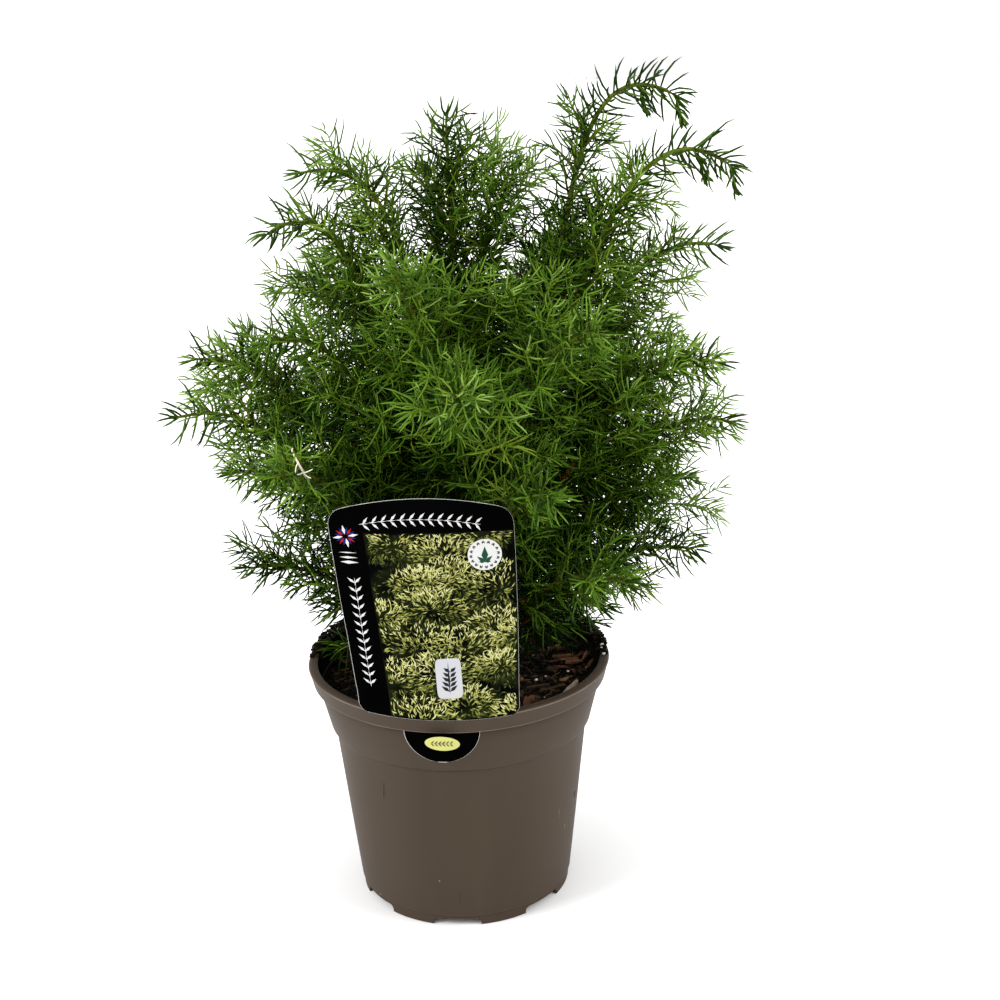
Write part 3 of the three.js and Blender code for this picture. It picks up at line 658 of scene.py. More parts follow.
CHIPS = tuple(Chip(*row) for row in (
    ((66.5, -44.5, 147.6), (8.0, 1.6, 0.8), 42.0, 0.35, Bit.PALE),
    ((62.5, -50.0, 145.4), (6.0, 1.8, 0.7), 40.0, 0.2, Bit.ORANGE),
    ((39.5, -57.0, 145.0), (5.5, 2.2, 0.9), 84.0, 0.3, Bit.RED),
    ((43.0, -50.0, 144.4), (4.0, 2.0, 0.9), 70.0, 0.0, Bit.RED),
    ((66.7, 6.5, 148.0), (7.0, 0.8, 0.6), -8.0, 0.1, Bit.ORANGE),
    ((66.2, 4.6, 147.9), (5.6, 0.7, 0.5), -4.0, 0.05, Bit.RED),
    ((80.4, 1.1, 150.2), (6.0, 0.8, 0.6), 68.0, 0.1, Bit.ORANGE),
    ((82.0, 0.8, 150.4), (4.6, 0.6, 0.5), 64.0, 0.1, Bit.RED),
    ((73.0, -2.4, 147.6), (6.8, 0.8, 0.6), 6.0, 0.05, Bit.ORANGE),
    ((72.0, -4.1, 147.4), (5.0, 0.6, 0.5), 2.0, 0.05, Bit.RED),
    ((70.5, 1.6, 147.8), (6.4, 0.7, 0.5), -3.0, 0.05, Bit.ORANGE),
    ((76.0, 4.4, 148.6), (4.2, 0.7, 0.5), 30.0, 0.1, Bit.RED),
    ((62.0, 26.0, 146.2), (5.0, 1.1, 0.6), 20.0, 0.1, Bit.ORANGE),
    ((82.4, -11.2, 149.6), (5.2, 1.0, 0.6), 64.0, 0.15, Bit.RED),
    ((81.2, -13.0, 149.2), (4.4, 0.7, 0.5), 58.0, 0.15, Bit.ORANGE),
    ((64.0, -8.0, 146.6), (5.0, 0.8, 0.6), -16.0, 0.05, Bit.RED),
    ((62.0, 2.0, 146.8), (4.4, 0.7, 0.5), 14.0, 0.05, Bit.RED),
    ((48.0, -32.0, 144.6), (8.0, 1.3, 0.7), 14.0, 0.0, Bit.BROWN),
    ((91.0, -2.7, 158.4), (1.5, 0.9, 1.3), 20.0, 0.0, Bit.PERLITE),
    ((90.2, -6.1, 157.6), (1.0, 0.9, 0.8), 0.0, 0.0, Bit.PERLITE),
    ((91.0, -11.6, 155.9), (1.4, 1.1, 1.1), 0.0, 0.0, Bit.PERLITE),
    ((68.0, -16.0, 146.8), (0.9, 0.8, 0.7), 0.0, 0.0, Bit.PERLITE),
))


@dataclass
class Compost:
    """The filled pot's surface: an uneven bed, crumbs, bark chips, perlite and fallen needles."""

    top: float = 141.7
    edge: float = 140.8
    edge_radius: float = 87.0
    rings: int = 34
    steps: int = 120
    unevenness: float = 1.3
    crumbs: Scatter = Scatter(3400, 1, (0.7, 0.6, 0.5), (2.6, 2.0, 1.5), 0.5, (Bit.BLACK,) * 3 + (Bit.BROWN,))
    chips: Scatter = Scatter(300, 2, (1.6, 0.9, 0.4), (7.0, 2.6, 1.0), 0.35,
                             (Bit.BLACK, Bit.BROWN, Bit.BROWN, Bit.RED, Bit.RED, Bit.ORANGE))
    grains: Scatter = Scatter(50, 3, (0.5, 0.5, 0.4), (1.4, 1.3, 1.1), 0.5, (Bit.PERLITE,))
    spill: Scatter = Scatter(560, 20, (1.0, 0.9, 0.5), (2.1, 1.8, 1.0), 0.3, (Bit.BLACK,) * 4 + (Bit.BROWN,))
    dents: float = 0.42
    fallen: int = 110
    fallen_lengths: Pair = (7.0, 16.0)
    fallen_width: float = 0.7
    seed: int = 5
    mound: float = 10.5
    mound_turn: Pair = (8.0, 44.0)  # its middle and how wide it is, in degrees
    mound_reach: Pair = (64.0, 86.0)
    wall: Table = ((112.3, 144.0, 154.3), (78.0, 87.7, 89.0))
    banks: tuple[Pair, ...] = ((-6.0, 72.0), (112.0, 178.0))
    bank_reach: Pair = (87.8, 93.9)
    bank_height: float = 6.0
    bank_section: Table = ((0, 0.3, 0.8, 1), (0.5, 1, 0.95, 0.5))
    rim_inner: float = 89.4
    rim_height: float = 155.0

    def height(self, x: float, y: float) -> float:
        """Returns the bed's height at a place, with its waves and the mound at its edge."""
        reach = math.hypot(x, y)
        flat = np.interp(reach, (14, self.edge_radius), (self.top, self.edge))
        fade = min(1.0, (self.edge_radius - reach) / 6)
        wave = noise.noise(Vector((x * 0.05, y * 0.05, 3.0)))
        wave += 0.5 * noise.noise(Vector((x * 0.16, y * 0.16, 7.0)))
        turn = math.degrees(math.atan2(y, x)) - self.mound_turn[0]
        risen = float(np.clip(np.interp(reach, self.mound_reach, (0, 1)), 0, 1))
        mound = self.mound * risen**1.5 * math.exp(-((turn / self.mound_turn[1]) ** 2))
        return float(flat + mound + self.unevenness * wave * max(0.0, fade))

    def bed(self) -> None:
        """Builds the body of compost down to the pot's floor."""
        rings = [(self.edge_radius * (1 - i / self.rings), self.edge) for i in range(self.rings)]
        profile = [(0, 6.3), (65.6, 6.3), (66.0, 8.5), (77.9, 112.3)] + rings + [(0, self.edge)]
        piece = spun("compost_bed", profile, self.steps)
        tidy_surface(piece, 40)
        points = points_of(piece)
        on_top = points[:, 2] > self.edge - 0.01
        points[on_top, 2] = [self.height(x, y) for x, y, _ in points[on_top]]
        wall = np.interp(points[on_top, 2], *self.wall) / np.interp(self.edge, *self.wall)
        points[on_top, :2] *= wall[:, None]
        move_points(piece, points)
        dress(piece, "compost", DARK_COMPOST.material(), replaces=("compost",))

    def scattered(self, count: int, channel: int) -> tuple[Array, Dice]:
        """Returns so many places on the bed, even over its area, and the dice for the rest."""
        dice = np.random.default_rng(self.seed + channel)
        reach = (self.edge_radius - 4.5) * np.sqrt(dice.random(count))
        turn = dice.random(count) * 2 * math.pi
        x, y = reach * np.cos(turn), reach * np.sin(turn)
        z = np.array([self.height(a, b) for a, b in zip(x, y)])
        return np.stack([x, y, z], axis=1), dice

    def laid(self, model: Array, scale: Array, yaw: Array, pitch: Array,
             dice: Dice) -> Array:
        """Copies a model, each copy dented, scaled, tilted and turned.

        Args:
            model: its vertices.
            scale: the half-sizes of each copy.
            yaw: how far each is turned, in radians.
            pitch: how far each is tilted, in radians.
            dice: the random numbers of the dents.

        Returns:
            The vertices of each copy.
        """
        dents = 1 + self.dents * (dice.random((len(scale), len(model), 3)) - 0.5)
        copies = model[None] * dents * scale[:, None]
        c, s = np.cos(pitch)[:, None], np.sin(pitch)[:, None]
        x, z = copies[..., 0] * c - copies[..., 2] * s, copies[..., 0] * s + copies[..., 2] * c
        c, s = np.cos(yaw)[:, None], np.sin(yaw)[:, None]
        return np.stack([x * c - copies[..., 1] * s, x * s + copies[..., 1] * c, z], axis=2)

    def strewn(self, heap: Heap, kind: Scatter, shape: tuple[Array, Array], places: Array,
               dice: Dice) -> None:
        """Strews copies of a shape over places, each with its own size, turn and dents.

        Args:
            heap: the mesh that they join.
            kind: their sizes, tilt and materials.
            shape: the model's vertices and triangles.
            places: where each lies.
            dice: the random numbers of this kind.
        """
        model, corners = shape
        count = len(places)
        low, high = np.array(kind.smallest), np.array(kind.largest)
        scale = low + (high - low) * dice.random((count, 1)) ** 1.6 * np.ones(3)
        yaw, pitch = dice.random(count) * 2 * math.pi, (dice.random(count) - 0.5) * 2 * kind.tilt
        copies = self.laid(model, scale, yaw, pitch, dice) + places[:, None]
        copies[..., 2] += scale[:, 2:] * 0.45
        heap.stamp(copies, corners, dice.choice(kind.tints, count))

    def bank(self, start: float, end: float, channel: int) -> tuple[Array, Dice]:
        """Scatters places in a low bank of spilled compost on the rim's lip.

        Args:
            start: the azimuth where the bank starts, in degrees.
            end: the azimuth where it ends.
            channel: the number that sets its dice apart.

        Returns:
            The places, and the dice for the rest.
        """
        dice = np.random.default_rng(self.seed + channel)
        share, across = dice.random(self.spill.count), dice.random(self.spill.count)
        turn = np.radians(start + (end - start) * share)
        reach = self.bank_reach[0] + (self.bank_reach[1] - self.bank_reach[0]) * across
        crest = np.clip(np.minimum(share, 1 - share) * 12, 0, 1) * np.interp(across, *self.bank_section)
        foot = np.where(reach < self.rim_inner, self.rim_height - 2.2, self.rim_height)
        z = foot + self.bank_height * crest * dice.random(self.spill.count) ** 0.45
        return np.stack([reach * np.cos(turn), reach * np.sin(turn), z], axis=1), dice

    def litter(self) -> None:
        """Builds the crumbs, chips and grains that lie on the bed."""
        pick()
        bpy.ops.mesh.primitive_ico_sphere_add(subdivisions=1, radius=1)
        lump = model_shape("lump")
        bpy.ops.mesh.primitive_cylinder_add(vertices=6, radius=1, depth=2)
        flake = model_shape("flake")
        heap = Heap()
        for kind, shape in ((self.crumbs, lump), (self.chips, flake), (self.grains, lump)):
            self.strewn(heap, kind, shape, *self.scattered(kind.count, kind.channel))
        for channel, (start, end) in enumerate(self.banks, self.spill.channel):
            self.strewn(heap, self.spill, lump, *self.bank(start, end, channel))
        dice = np.random.default_rng(self.seed + 10)
        for chip in CHIPS:
            model, corners = lump if chip.tint is Bit.PERLITE else flake
            yaw, pitch = np.radians([chip.yaw]), np.array([chip.pitch])
            copy = self.laid(model, np.array([chip.half]), yaw, pitch, dice)
            heap.stamp(copy + np.array(chip.place), corners, int(chip.tint))
        dress(heap.piece("compost_litter", False), "compost", *(finish.material() for finish in CRUMBS))

    def fallen_needles(self) -> None:
        """Builds dry needles that lie on the bed."""
        places, dice = self.scattered(self.fallen, 4)
        turn = dice.random(self.fallen) * 2 * math.pi
        ahead = np.stack([np.cos(turn), np.sin(turn), 0.15 * (dice.random(self.fallen) - 0.3)], axis=1)
        side = np.stack([-np.sin(turn), np.cos(turn), np.zeros(self.fallen)], axis=1)
        shortest, longest = self.fallen_lengths
        length = (shortest + (longest - shortest) * dice.random(self.fallen))[:, None]
        places[:, 2] += 1.6
        fade = np.clip((self.edge_radius - np.hypot(*places[:, :2].T)) / 20, 0.25, 1)[:, None]
        tip = places + (ahead + 0.35 * side) * length * fade
        blades = needle_blades(places, places + ahead * length * fade * 0.5, tip, self.fallen_width)
        heap = Heap()
        heap.stamp(blades, NEEDLE_CORNERS)
        dress(heap.piece("fallen_needles", True), "compost", DRY_NEEDLES.material())

    def build(self) -> None:
        """Builds all that fills the pot."""
        self.bed()
        self.litter()
        self.fallen_needles()


# ---- the label

LEAF_CORNERS = np.array([[0, 1, 2], [0, 2, 3], [1, 0, 4], [2, 1, 4], [3, 2, 4], [0, 3, 4]])


@dataclass(frozen=True)
class Leaf:
    """One small printed leaf: its foot on the card, direction in radians, length and half width."""

    root: Pair
    turn: float
    length: float
    half: float

    def outline(self) -> Array:
        """Returns its foot, one side, tip and other side, as rows of x and z."""
        root = np.array(self.root)
        ahead = np.array([math.cos(self.turn), math.sin(self.turn)])
        side = np.array([-math.sin(self.turn), math.cos(self.turn)])
        middle = root + ahead * self.length * 0.45
        return np.array([root, middle + side * self.half, root + ahead * self.length,
                         middle - side * self.half])


@dataclass
class PlantLabel:
    """The hooked card: tongue under the rim, neck through its slit, and printed card above."""

    thickness: float = 0.45
    slot_radius: float = 90.65
    card_bottom: float = 155.3
    card_start: float = 153.6
    flare: float = 5.15
    flare_top: float = 166.0
    card_top: float = 285.5
    left_side: Table = (
        (153, 170, 184, 204, 222, 234, 266, 281, 290),
        (-59.2, -61.0, -62.0, -63.6, -65.5, -66.6, -69.2, -70.1, -70.7))
    right_side: Table = (
        (153, 167, 214, 252, 276, 290), (34.1, 34.1, 34.1, 33.5, 32.7, 32.2))
    foot_corner: Triple = (158.8, 5.2, 5.0)  # the height where it starts, its depth and its width
    head_corners: Triple = (11.6, 10.6, 9.2)  # their depth, and the widths of the left and right one
    head_start: float = 274.0
    arch: float = 6.0
    arch_start: float = 250.0
    arch_steps: int = 12  # how often a place on the arch is corrected
    lean: float = 0.13
    uncurl: float = 1.2
    neck: Pair = (-34.0, 10.5)
    neck_start: float = 146.0
    tongue_top: float = 143.5
    tongue_bottom: float = 121.8
    tongue_print: Pair = (142.8, 143.4)
    collar: tuple[float, float, float, float] = (82.9, 115.3, 89.9, 144.0)
    gap: float = 0.3
    white_edge: float = 0.1
    panel_top: float = 271.0
    panel_left: Pair = (-40.6, -50.4)
    panel_margin: float = 0.2
    card_columns: int = 44
    neck_columns: int = 30
    print_lift: float = 0.06
    ground_lift: float = 0.03
    panel_lift: float = 0.09
    leaf_lift: float = 0.12
    spot_lift: float = 0.34
    spot_leaf_lift: float = 0.44
    oval_lift: float = 0.20
    oval_leaf_lift: float = 0.30
    clump_rows: int = 6
    clump_columns: int = 3
    clump_leaves: int = 330
    ground_leaves: int = 900
    garland_leaves: int = 13
    petals: int = 16
    rosette: Pair = (-60.4, 268.4)
    badge: Pair = (16.2, 256.9)
    badge_dashes: int = 32
    seed: int = 21

    def surface(self, x: Array, z: Array, flare: float) -> Array:
        """Works out where the sheet's middle surface lies, before its top edge is arched.

        Args:
            x: places across the sheet.
            z: heights.
            flare: how far the sheet's foot stands out.

        Returns:
            The y of each place.
        """
        r0, z0, r1, z1 = self.collar
        over_collar = r1 - (z1 - z) * (r1 - r0) / (z1 - z0) + self.gap + self.thickness
        over = np.maximum(0, z - self.card_bottom)
        share = np.clip((self.flare_top - z) / (self.flare_top - self.card_start), 0, 1)
        out = flare * share**2 * (3 - 2 * share)
        middle = np.minimum(self.slot_radius, over_collar) + over * self.lean + out
        radius = self.slot_radius + over * self.uncurl + out
        return -middle + radius - np.sqrt(radius**2 - x**2)

    def card_edges(self, z: Array) -> tuple[Array, Array]:
        """Returns the card's left and right at a height, with its round corners."""
        start, depth, width = self.foot_corner
        foot = self.corner((start - z) / depth, width)
        depth, left_width, right_width = self.head_corners
        rise = (z - self.head_start) / depth
        left = np.interp(z, *self.left_side) + (foot + self.corner(rise, left_width))
        return left, np.interp(z, *self.right_side) - (foot + self.corner(rise, right_width))

    def neck_edges(self, z: Array) -> tuple[Array, Array]:
        """Returns the left and right of the neck and its tongue at a height."""
        middle, half = sum(self.neck) / 2, (self.neck[1] - self.neck[0]) / 2
        share = np.clip((z - self.tongue_bottom) / (self.tongue_top - self.tongue_bottom), 0.004, 1)
        width = half * np.sqrt(1 - (1 - share) ** 2)
        return middle - width, middle + width

    @staticmethod
    def corner(depth: Array, width: float) -> Array:
        """Returns how far an elliptical corner draws the outline in, at a share of its depth."""
        return width * (1 - np.sqrt(1 - np.clip(depth, 0, 1) ** 2))

    def lifted(self, x: Array, z: Array) -> Array:
        """Returns how far the arch lifts a point of the card."""
        left, right = self.card_edges(z)
        u = np.clip((x - left) / (right - left), 0, 1)
        share = np.clip((z - self.arch_start) / (self.card_top - self.arch_start), 0, 1)
        return self.arch * share**2 * (3 - 2 * share) * (1 - (2 * u - 1) ** 2)

    def placed(self, x: Array, z: Array, lift: float) -> Array:
        """Returns points on the card's front at places seen from the front, this far in front of it."""
        flat = z.copy()
        for _ in range(self.arch_steps):
            flat = z - self.lifted(x, flat)
        y = self.surface(x, flat, self.flare) - self.half_depth(x, flat, self.flare) - lift
        return np.stack([x, y, z], axis=1)

    def half_depth(self, x: Array, z: Array, flare: float) -> Array:
        """Returns how far the sheet's front lies before its middle along y: more where it slants."""
        across = (self.surface(x + 0.1, z, flare) - self.surface(x - 0.1, z, flare)) / 0.2
        upwards = (self.surface(x, z + 0.1, flare) - self.surface(x, z - 0.1, flare)) / 0.2
        return self.thickness / 2 * np.sqrt(1 + across**2 + upwards**2)

    def sheet(self, name: str, heights: Array, neck: bool = False, inset: float = 0.0,
              coat: float = 0.0) -> Piece:
        """Models an open grid over the outline of the card or of its neck.

        Args:
            name: the piece's name.
            heights: its rows.
            neck: whether it is the neck and tongue.
            inset: how far it is drawn in from the outline.
            coat: how far it lies before the sheet's front, or 0 for the sheet's middle.

        Returns:
            The grid.
        """
        columns = self.neck_columns if neck else self.card_columns
        pick()
        bpy.ops.mesh.primitive_grid_add(x_subdivisions=columns, y_subdivisions=len(heights) - 1, size=2)
        piece = named(name)
        flat = points_of(piece) * MM
        rows = np.rint((flat[:, 1] + 1) / 2 * (len(heights) - 1)).astype(int)
        z = heights[rows]
        left, right = self.neck_edges(z) if neck else self.card_edges(z)
        x = np.interp(flat[:, 0], (-1, 1), (0, 1)) * (right - left - 2 * inset) + left + inset
        flare = 0.0 if neck else self.flare
        y = self.surface(x, z, flare)
        lift = 0.0 if neck else self.lifted(x, z)
        if coat:
            y -= self.half_depth(x, z, flare) + coat
        move_points(piece, np.stack([x, y, z + lift], axis=1))
        return piece

    def body(self) -> None:
        """Builds the white sheet itself: the card, and the neck that passes behind its foot."""
        heights = np.concatenate([[self.card_start], self.even_rows(), self.head_rows(11, 0.0, 0.0)])
        card = self.sheet("label_face", heights)
        tongue = self.tongue_bottom + (self.tongue_top - self.tongue_bottom) * np.linspace(0, 1, 15) ** 2
        heights = np.concatenate([tongue, np.linspace(self.neck_start, self.flare_top, 14)])
        neck = self.sheet("label_neck", heights, neck=True)
        for part in (card, neck):
            apply_modifier(part, "SOLIDIFY", thickness=self.thickness * MM, offset=0)
            tidy_surface(part, 50)
        whole = join_pieces("label_card", [card, neck])
        dress(whole, "label_card", CARD_WHITE.material(), replaces=("label",))

    def even_rows(self) -> Array:
        """Returns the heights of the card's rows below its top corners, close together where it flares."""
        return np.concatenate([self.card_start + 0.15 + np.linspace(0, 17, 25), np.linspace(175, 271, 28)])

    def head_rows(self, count: int, last: float, inset: float) -> Array:
        """Returns the heights of the rows beside the top corners, closer together towards the last."""
        rise = self.card_top - self.head_start - inset
        return self.head_start + rise * (1 - np.linspace(1, last, count) ** 2)

    def layer(self, piece: Piece, finish: Finish) -> None:
        """Gives a sheet of print its thickness and its finish."""
        apply_modifier(piece, "SOLIDIFY", thickness=self.print_lift * MM, offset=0)
        tidy_surface(piece, 40)
        dress(piece, "label_card", finish.material())

    def black_ground(self) -> None:
        """Builds the black print over the card, and over the tongue."""
        heights = np.concatenate([self.even_rows(), self.head_rows(12, 0.03, self.white_edge)])
        card = self.sheet("label_black_ground", heights, inset=self.white_edge, coat=self.ground_lift)
        self.layer(card, CARD_BLACK)
        end, highest = self.tongue_print
        heights = self.tongue_bottom + 0.3 + (end - self.tongue_bottom) * np.linspace(0.03, 1, 15) ** 2
        heights = np.minimum(heights, highest)
        tongue = self.sheet("label_black_tongue", heights, neck=True, inset=0.2, coat=self.ground_lift)
        self.layer(tongue, CARD_BLACK)

    def picture(self) -> None:
        """Builds the picture's dark ground and the rows of sprigs on it."""
        pick()
        bpy.ops.mesh.primitive_grid_add(x_subdivisions=40, y_subdivisions=60, size=2)
        panel = named("label_picture_ground")
        flat = points_of(panel) * MM
        bottom = self.card_start + 0.15
        z = np.interp(flat[:, 1], (-1, 1), (bottom, self.panel_top))
        left = np.interp(z, (bottom, self.panel_top), self.panel_left)
        right = self.card_edges(z)[1] - self.white_edge
        x = left + (flat[:, 0] + 1) / 2 * (right - left)
        move_points(panel, self.placed(x, z, self.panel_lift))
        self.layer(panel, PICTURE_SHADE)
        self.bushes()

    def bushes(self) -> None:
        """Builds rows of domed clumps of fine leaves, pale on top and dark below, back rows first."""
        dice = np.random.default_rng(self.seed)
        heap = Heap()
        for _ in range(self.ground_leaves):
            z = self.card_start + (self.panel_top - self.card_start) * dice.random()
            place = (self.panel_edge(z) + 76 * dice.random(), z)
            leaf = Leaf(place, 2 * math.pi * dice.random(), 2 + 2 * dice.random(), 0.4)
            tint = int(dice.random() > 0.6)
            if self.fits(leaf):
                self.leaf(heap, leaf, self.leaf_lift, tint)
        pitch = (self.panel_top - 160) / (self.clump_rows - 0.6)
        for row in range(self.clump_rows):
            for column in range(self.clump_columns):
                wave = 5 * math.sin(2.3 * column + 1.7 * row)
                z = self.panel_top - 6 - row * pitch - 9 * dice.random() - wave
                left = self.panel_edge(z)
                share = (column + 0.5 * (row % 2) + 0.7 * dice.random()) / self.clump_columns
                centre = np.array([left + share * (33.5 - left), z])
                self.clump(heap, dice, centre, 11 + 9 * dice.random(), row)
        materials = [finish.material() for finish in PICTURE_LEAVES]
        dress(heap.piece("label_picture_leaves", False), "label_card", *materials)

    def clump(self, heap: Heap, dice: Dice, centre: Array, size: float, row: int) -> None:
        """Adds one clump: leaves that point away from its middle, from its dark foot to its pale top.

        Args:
            heap: the mesh that it joins.
            dice: the random numbers of the picture.
            centre: its middle, on the card.
            size: its radius.
            row: its row, counted from the back.
        """
        for _ in range(self.clump_leaves):
            reach, turn = math.sqrt(dice.random()), 2 * math.pi * dice.random()
            place = centre + size * reach * np.array([1.25 * math.cos(turn), 0.85 * math.sin(turn)])
            lean = math.atan2(math.sin(turn) * reach + 0.1, math.cos(turn) * reach)
            lean += 1.8 * (dice.random() - 0.5)
            bright = 2.35 + 2.8 * reach * math.sin(turn) + 2.6 * (dice.random() - 0.5)
            leaf = Leaf(tuple(place), lean, 2.0 + 2.2 * dice.random(), 0.34)
            tint = int(np.clip(bright, 0, 4.99))
            if self.fits(leaf):
                self.leaf(heap, leaf, 0.14 + 0.02 * row + 0.02 * tint, tint)

    def panel_edge(self, z: float) -> float:
        """Returns the picture's left edge at a height."""
        return float(np.interp(z, (self.card_start, self.panel_top), self.panel_left))

    def leaf(self, heap: Heap, leaf: Leaf, lift: float, tint: int = 0) -> None:
        """Adds one raised leaf of print, this far in front of the card, in one of the heap's materials."""
        outline = leaf.outline()
        flat = np.concatenate([outline, outline.mean(axis=0, keepdims=True)])
        points = self.placed(flat[:, 0], flat[:, 1], lift)
        points[4, 1] -= 0.08
        heap.add(points, LEAF_CORNERS, tint)

    def pair(self, heap: Heap, leaf: Leaf, spread: float, lift: float) -> None:
        """Adds two leaves that leave one foot to both sides, each turned by the spread."""
        for hand in (-1, 1):
            self.leaf(heap, replace(leaf, turn=leaf.turn + hand * spread), lift)

    def fits(self, leaf: Leaf) -> bool:
        """Tells whether a leaf lies inside the picture."""
        x, z = leaf.outline().T
        inside = (x > self.panel_edge(z.mean()) + 0.3) & (x < self.card_edges(z)[1] - 0.7)
        low, high = self.card_start + self.panel_margin, self.panel_top - self.panel_margin
        return bool(np.all(inside) and z.min() > low and z.max() < high)

    def ornaments(self) -> None:
        """Builds a leafy garland along the title band, one up the left border, and a rosette."""
        heap, red, blue = Heap(), Heap(), Heap()
        low = self.leaf_lift
        for k in range(self.garland_leaves):
            bow = 2 * k / (self.garland_leaves - 1) - 1
            x, z, slope = -50.5 + k * 5.15, 276.0 + 3.2 * (1 - bow**2), math.atan(-0.13 * bow)
            self.pair(heap, Leaf((x, z), slope, 5.4, 0.72), 0.85, low)
            self.leaf(heap, Leaf((x - 2.2, z), slope, 5.6, 0.3), low)
        for k in range(self.garland_leaves):
            z = 172 + k * 5.6
            x = float(np.interp(z, (160, 276), (-51.0, -59.6)))
            self.pair(heap, Leaf((x, z), math.radians(96), 5.4, 0.76), 0.8, low)
            self.leaf(heap, Leaf((x + 0.3, z - 2.2), math.radians(95), 5.8, 0.32), low)
        for k in range(self.petals):
            turn = 2 * math.pi * (k + 0.5) / self.petals
            foot = np.array(self.rosette) + 1.2 * np.array([1.25 * math.cos(turn), math.sin(turn)])
            colour = (heap, blue, red, blue)[k % 4]
            length, half = (5.8, 0.95) if colour is heap else (4.8, 0.7)
            self.leaf(colour, Leaf(tuple(foot), turn, length, half), low + 0.05 * (k % 2))
        for row in range(3):
            self.leaf(heap, Leaf((-64.9 + 0.3 * row, 258.4 - 3.0 * row), 0.0, 10.4, 0.4 + 0.3 * row), low)
        dress(heap.piece("label_garlands", False), "label_card", ORNAMENT_WHITE.material())
        dress(red.piece("label_red_petals", False), "label_card", ORNAMENT_RED.material())
        dress(blue.piece("label_blue_petals", False), "label_card", ORNAMENT_BLUE.material())

    def patch(self, name: str, centre: Pair, half: Pair, square: float, turn: float, lift: float,
              finish: Finish) -> None:
        """Builds a printed spot: round, oval or a rectangle with round corners.

        Args:
            name: the piece's name.
            centre: its place on the card.
            half: its half width and half height.
            square: 2 for a round or oval spot, more for a squarer one.
            turn: its turn, in degrees.
            lift: how far it stands in front of the card.
            finish: its print.
        """
        pick()
        bpy.ops.mesh.primitive_circle_add(vertices=56, radius=1, fill_type="TRIFAN")
        piece = named(name)
        bpy.ops.object.mode_set(mode="EDIT")
        bpy.ops.mesh.subdivide(number_cuts=3)
        bpy.ops.object.mode_set(mode="OBJECT")
        flat = points_of(piece)[:, :2] * MM
        reach, angle = np.hypot(*flat.T), np.arctan2(flat[:, 1], flat[:, 0])
        squared = (np.abs(np.cos(angle)) ** square + np.abs(np.sin(angle)) ** square) ** (-1 / square)
        x, z = half[0] * reach * squared * np.cos(angle), half[1] * reach * squared * np.sin(angle)
        c, s = math.cos(math.radians(turn)), math.sin(math.radians(turn))
        points = self.placed(centre[0] + x * c - z * s, centre[1] + x * s + z * c, lift)
        move_points(piece, points)
        self.layer(piece, finish)

    def spots(self) -> None:
        """Builds the round badge, the tilted sticker and the tongue's oval, each with leaves on it."""
        lift = self.spot_leaf_lift
        self.patch("label_badge", self.badge, (9.5, 9.5), 2, 0, self.spot_lift, ORNAMENT_WHITE)
        self.patch("label_sticker", (-6.2, 179.2), (7.4, 13.2), 7, 2.5, self.spot_lift, ORNAMENT_GREY)
        self.patch("label_oval", (-11.6, 138.4), (10.2, 5.0), 2, -3, self.oval_lift, ORNAMENT_CREAM)
        green, dark = Heap(), Heap()
        for turn, length in ((90, 9.5), (140, 5.6), (40, 5.6), (175, 3.6), (5, 3.6)):
            self.leaf(green, Leaf((16.2, 252.4), math.radians(turn), length, length * 0.2), lift)
        for k in range(self.badge_dashes):
            turn = 2 * math.pi * k / self.badge_dashes
            rim = np.array(self.badge) + 6.7 * np.array([math.cos(turn), math.sin(turn)])
            self.leaf(dark, Leaf(tuple(rim), turn + 0.35 * (-1) ** k, 2.1, 0.42), lift)
        for level in range(5):
            root = (-5.9 + 0.1 * level, 170.6 + 3.2 * level)
            self.pair(dark, Leaf(root, math.radians(93), 6.2 - 0.35 * level, 1.15), 0.85, lift)
        self.leaf(dark, Leaf((-5.9, 168.6), math.radians(92), 22, 0.6), lift)
        for k in range(6):
            self.pair(dark, Leaf((-18.2 + 2.2 * k, 138.4), 0.0, 2.9, 0.42), 0.8, self.oval_leaf_lift)
        self.leaf(dark, Leaf((-19.4, 138.4), 0.0, 15.5, 0.22), self.oval_leaf_lift)
        dress(green.piece("label_badge_leaf", False), "label_card", ORNAMENT_GREEN.material())
        dress(dark.piece("label_fine_leaves", False), "label_card", ORNAMENT_DARK.material())

    def build(self) -> None:
        """Builds the card and all its print."""
        self.body()
        self.black_ground()
        self.picture()
        self.ornaments()
        self.spots()


# ---- the growth rule

def chance(seed: int, index: int | Array, channel: int) -> Array:
    """Gives every twig and needle its own steady number from 0 to 1.

    Args:
        seed: the shoot's seed.
        index: the number of the twig or needle on it, or of several.
        channel: what the number is for.

    Returns:
        One number for each index.
    """
    word = 0xFFFFFFFF
    start = (seed * 73856093 ^ channel * 83492791) & word
    x = (np.asarray(index, dtype=np.int64) * 19349663 & word) ^ start
    x = (x ^ (x >> 16)) * 73244475 & word
    x = (x ^ (x >> 15)) * 73244475 & word
    return ((x ^ (x >> 16)) & 0xFFFFFF) / 2.0**24


def swing(seed: int, index: int | Array, channel: int) -> Array:
    """Gives a steady number from -1 to 1."""
    return 2 * chance(seed, index, channel) - 1


def unit(vectors: Array) -> Array:
    """Returns vectors of length 1."""
    return vectors / np.linalg.norm(vectors, axis=-1, keepdims=True)


def heading(azimuth: float, elevation: float) -> Array:
    """Returns the direction of an azimuth and a slope, in radians."""
    flat = math.cos(elevation)
    return np.array([math.cos(azimuth) * flat, math.sin(azimuth) * flat, math.sin(elevation)])


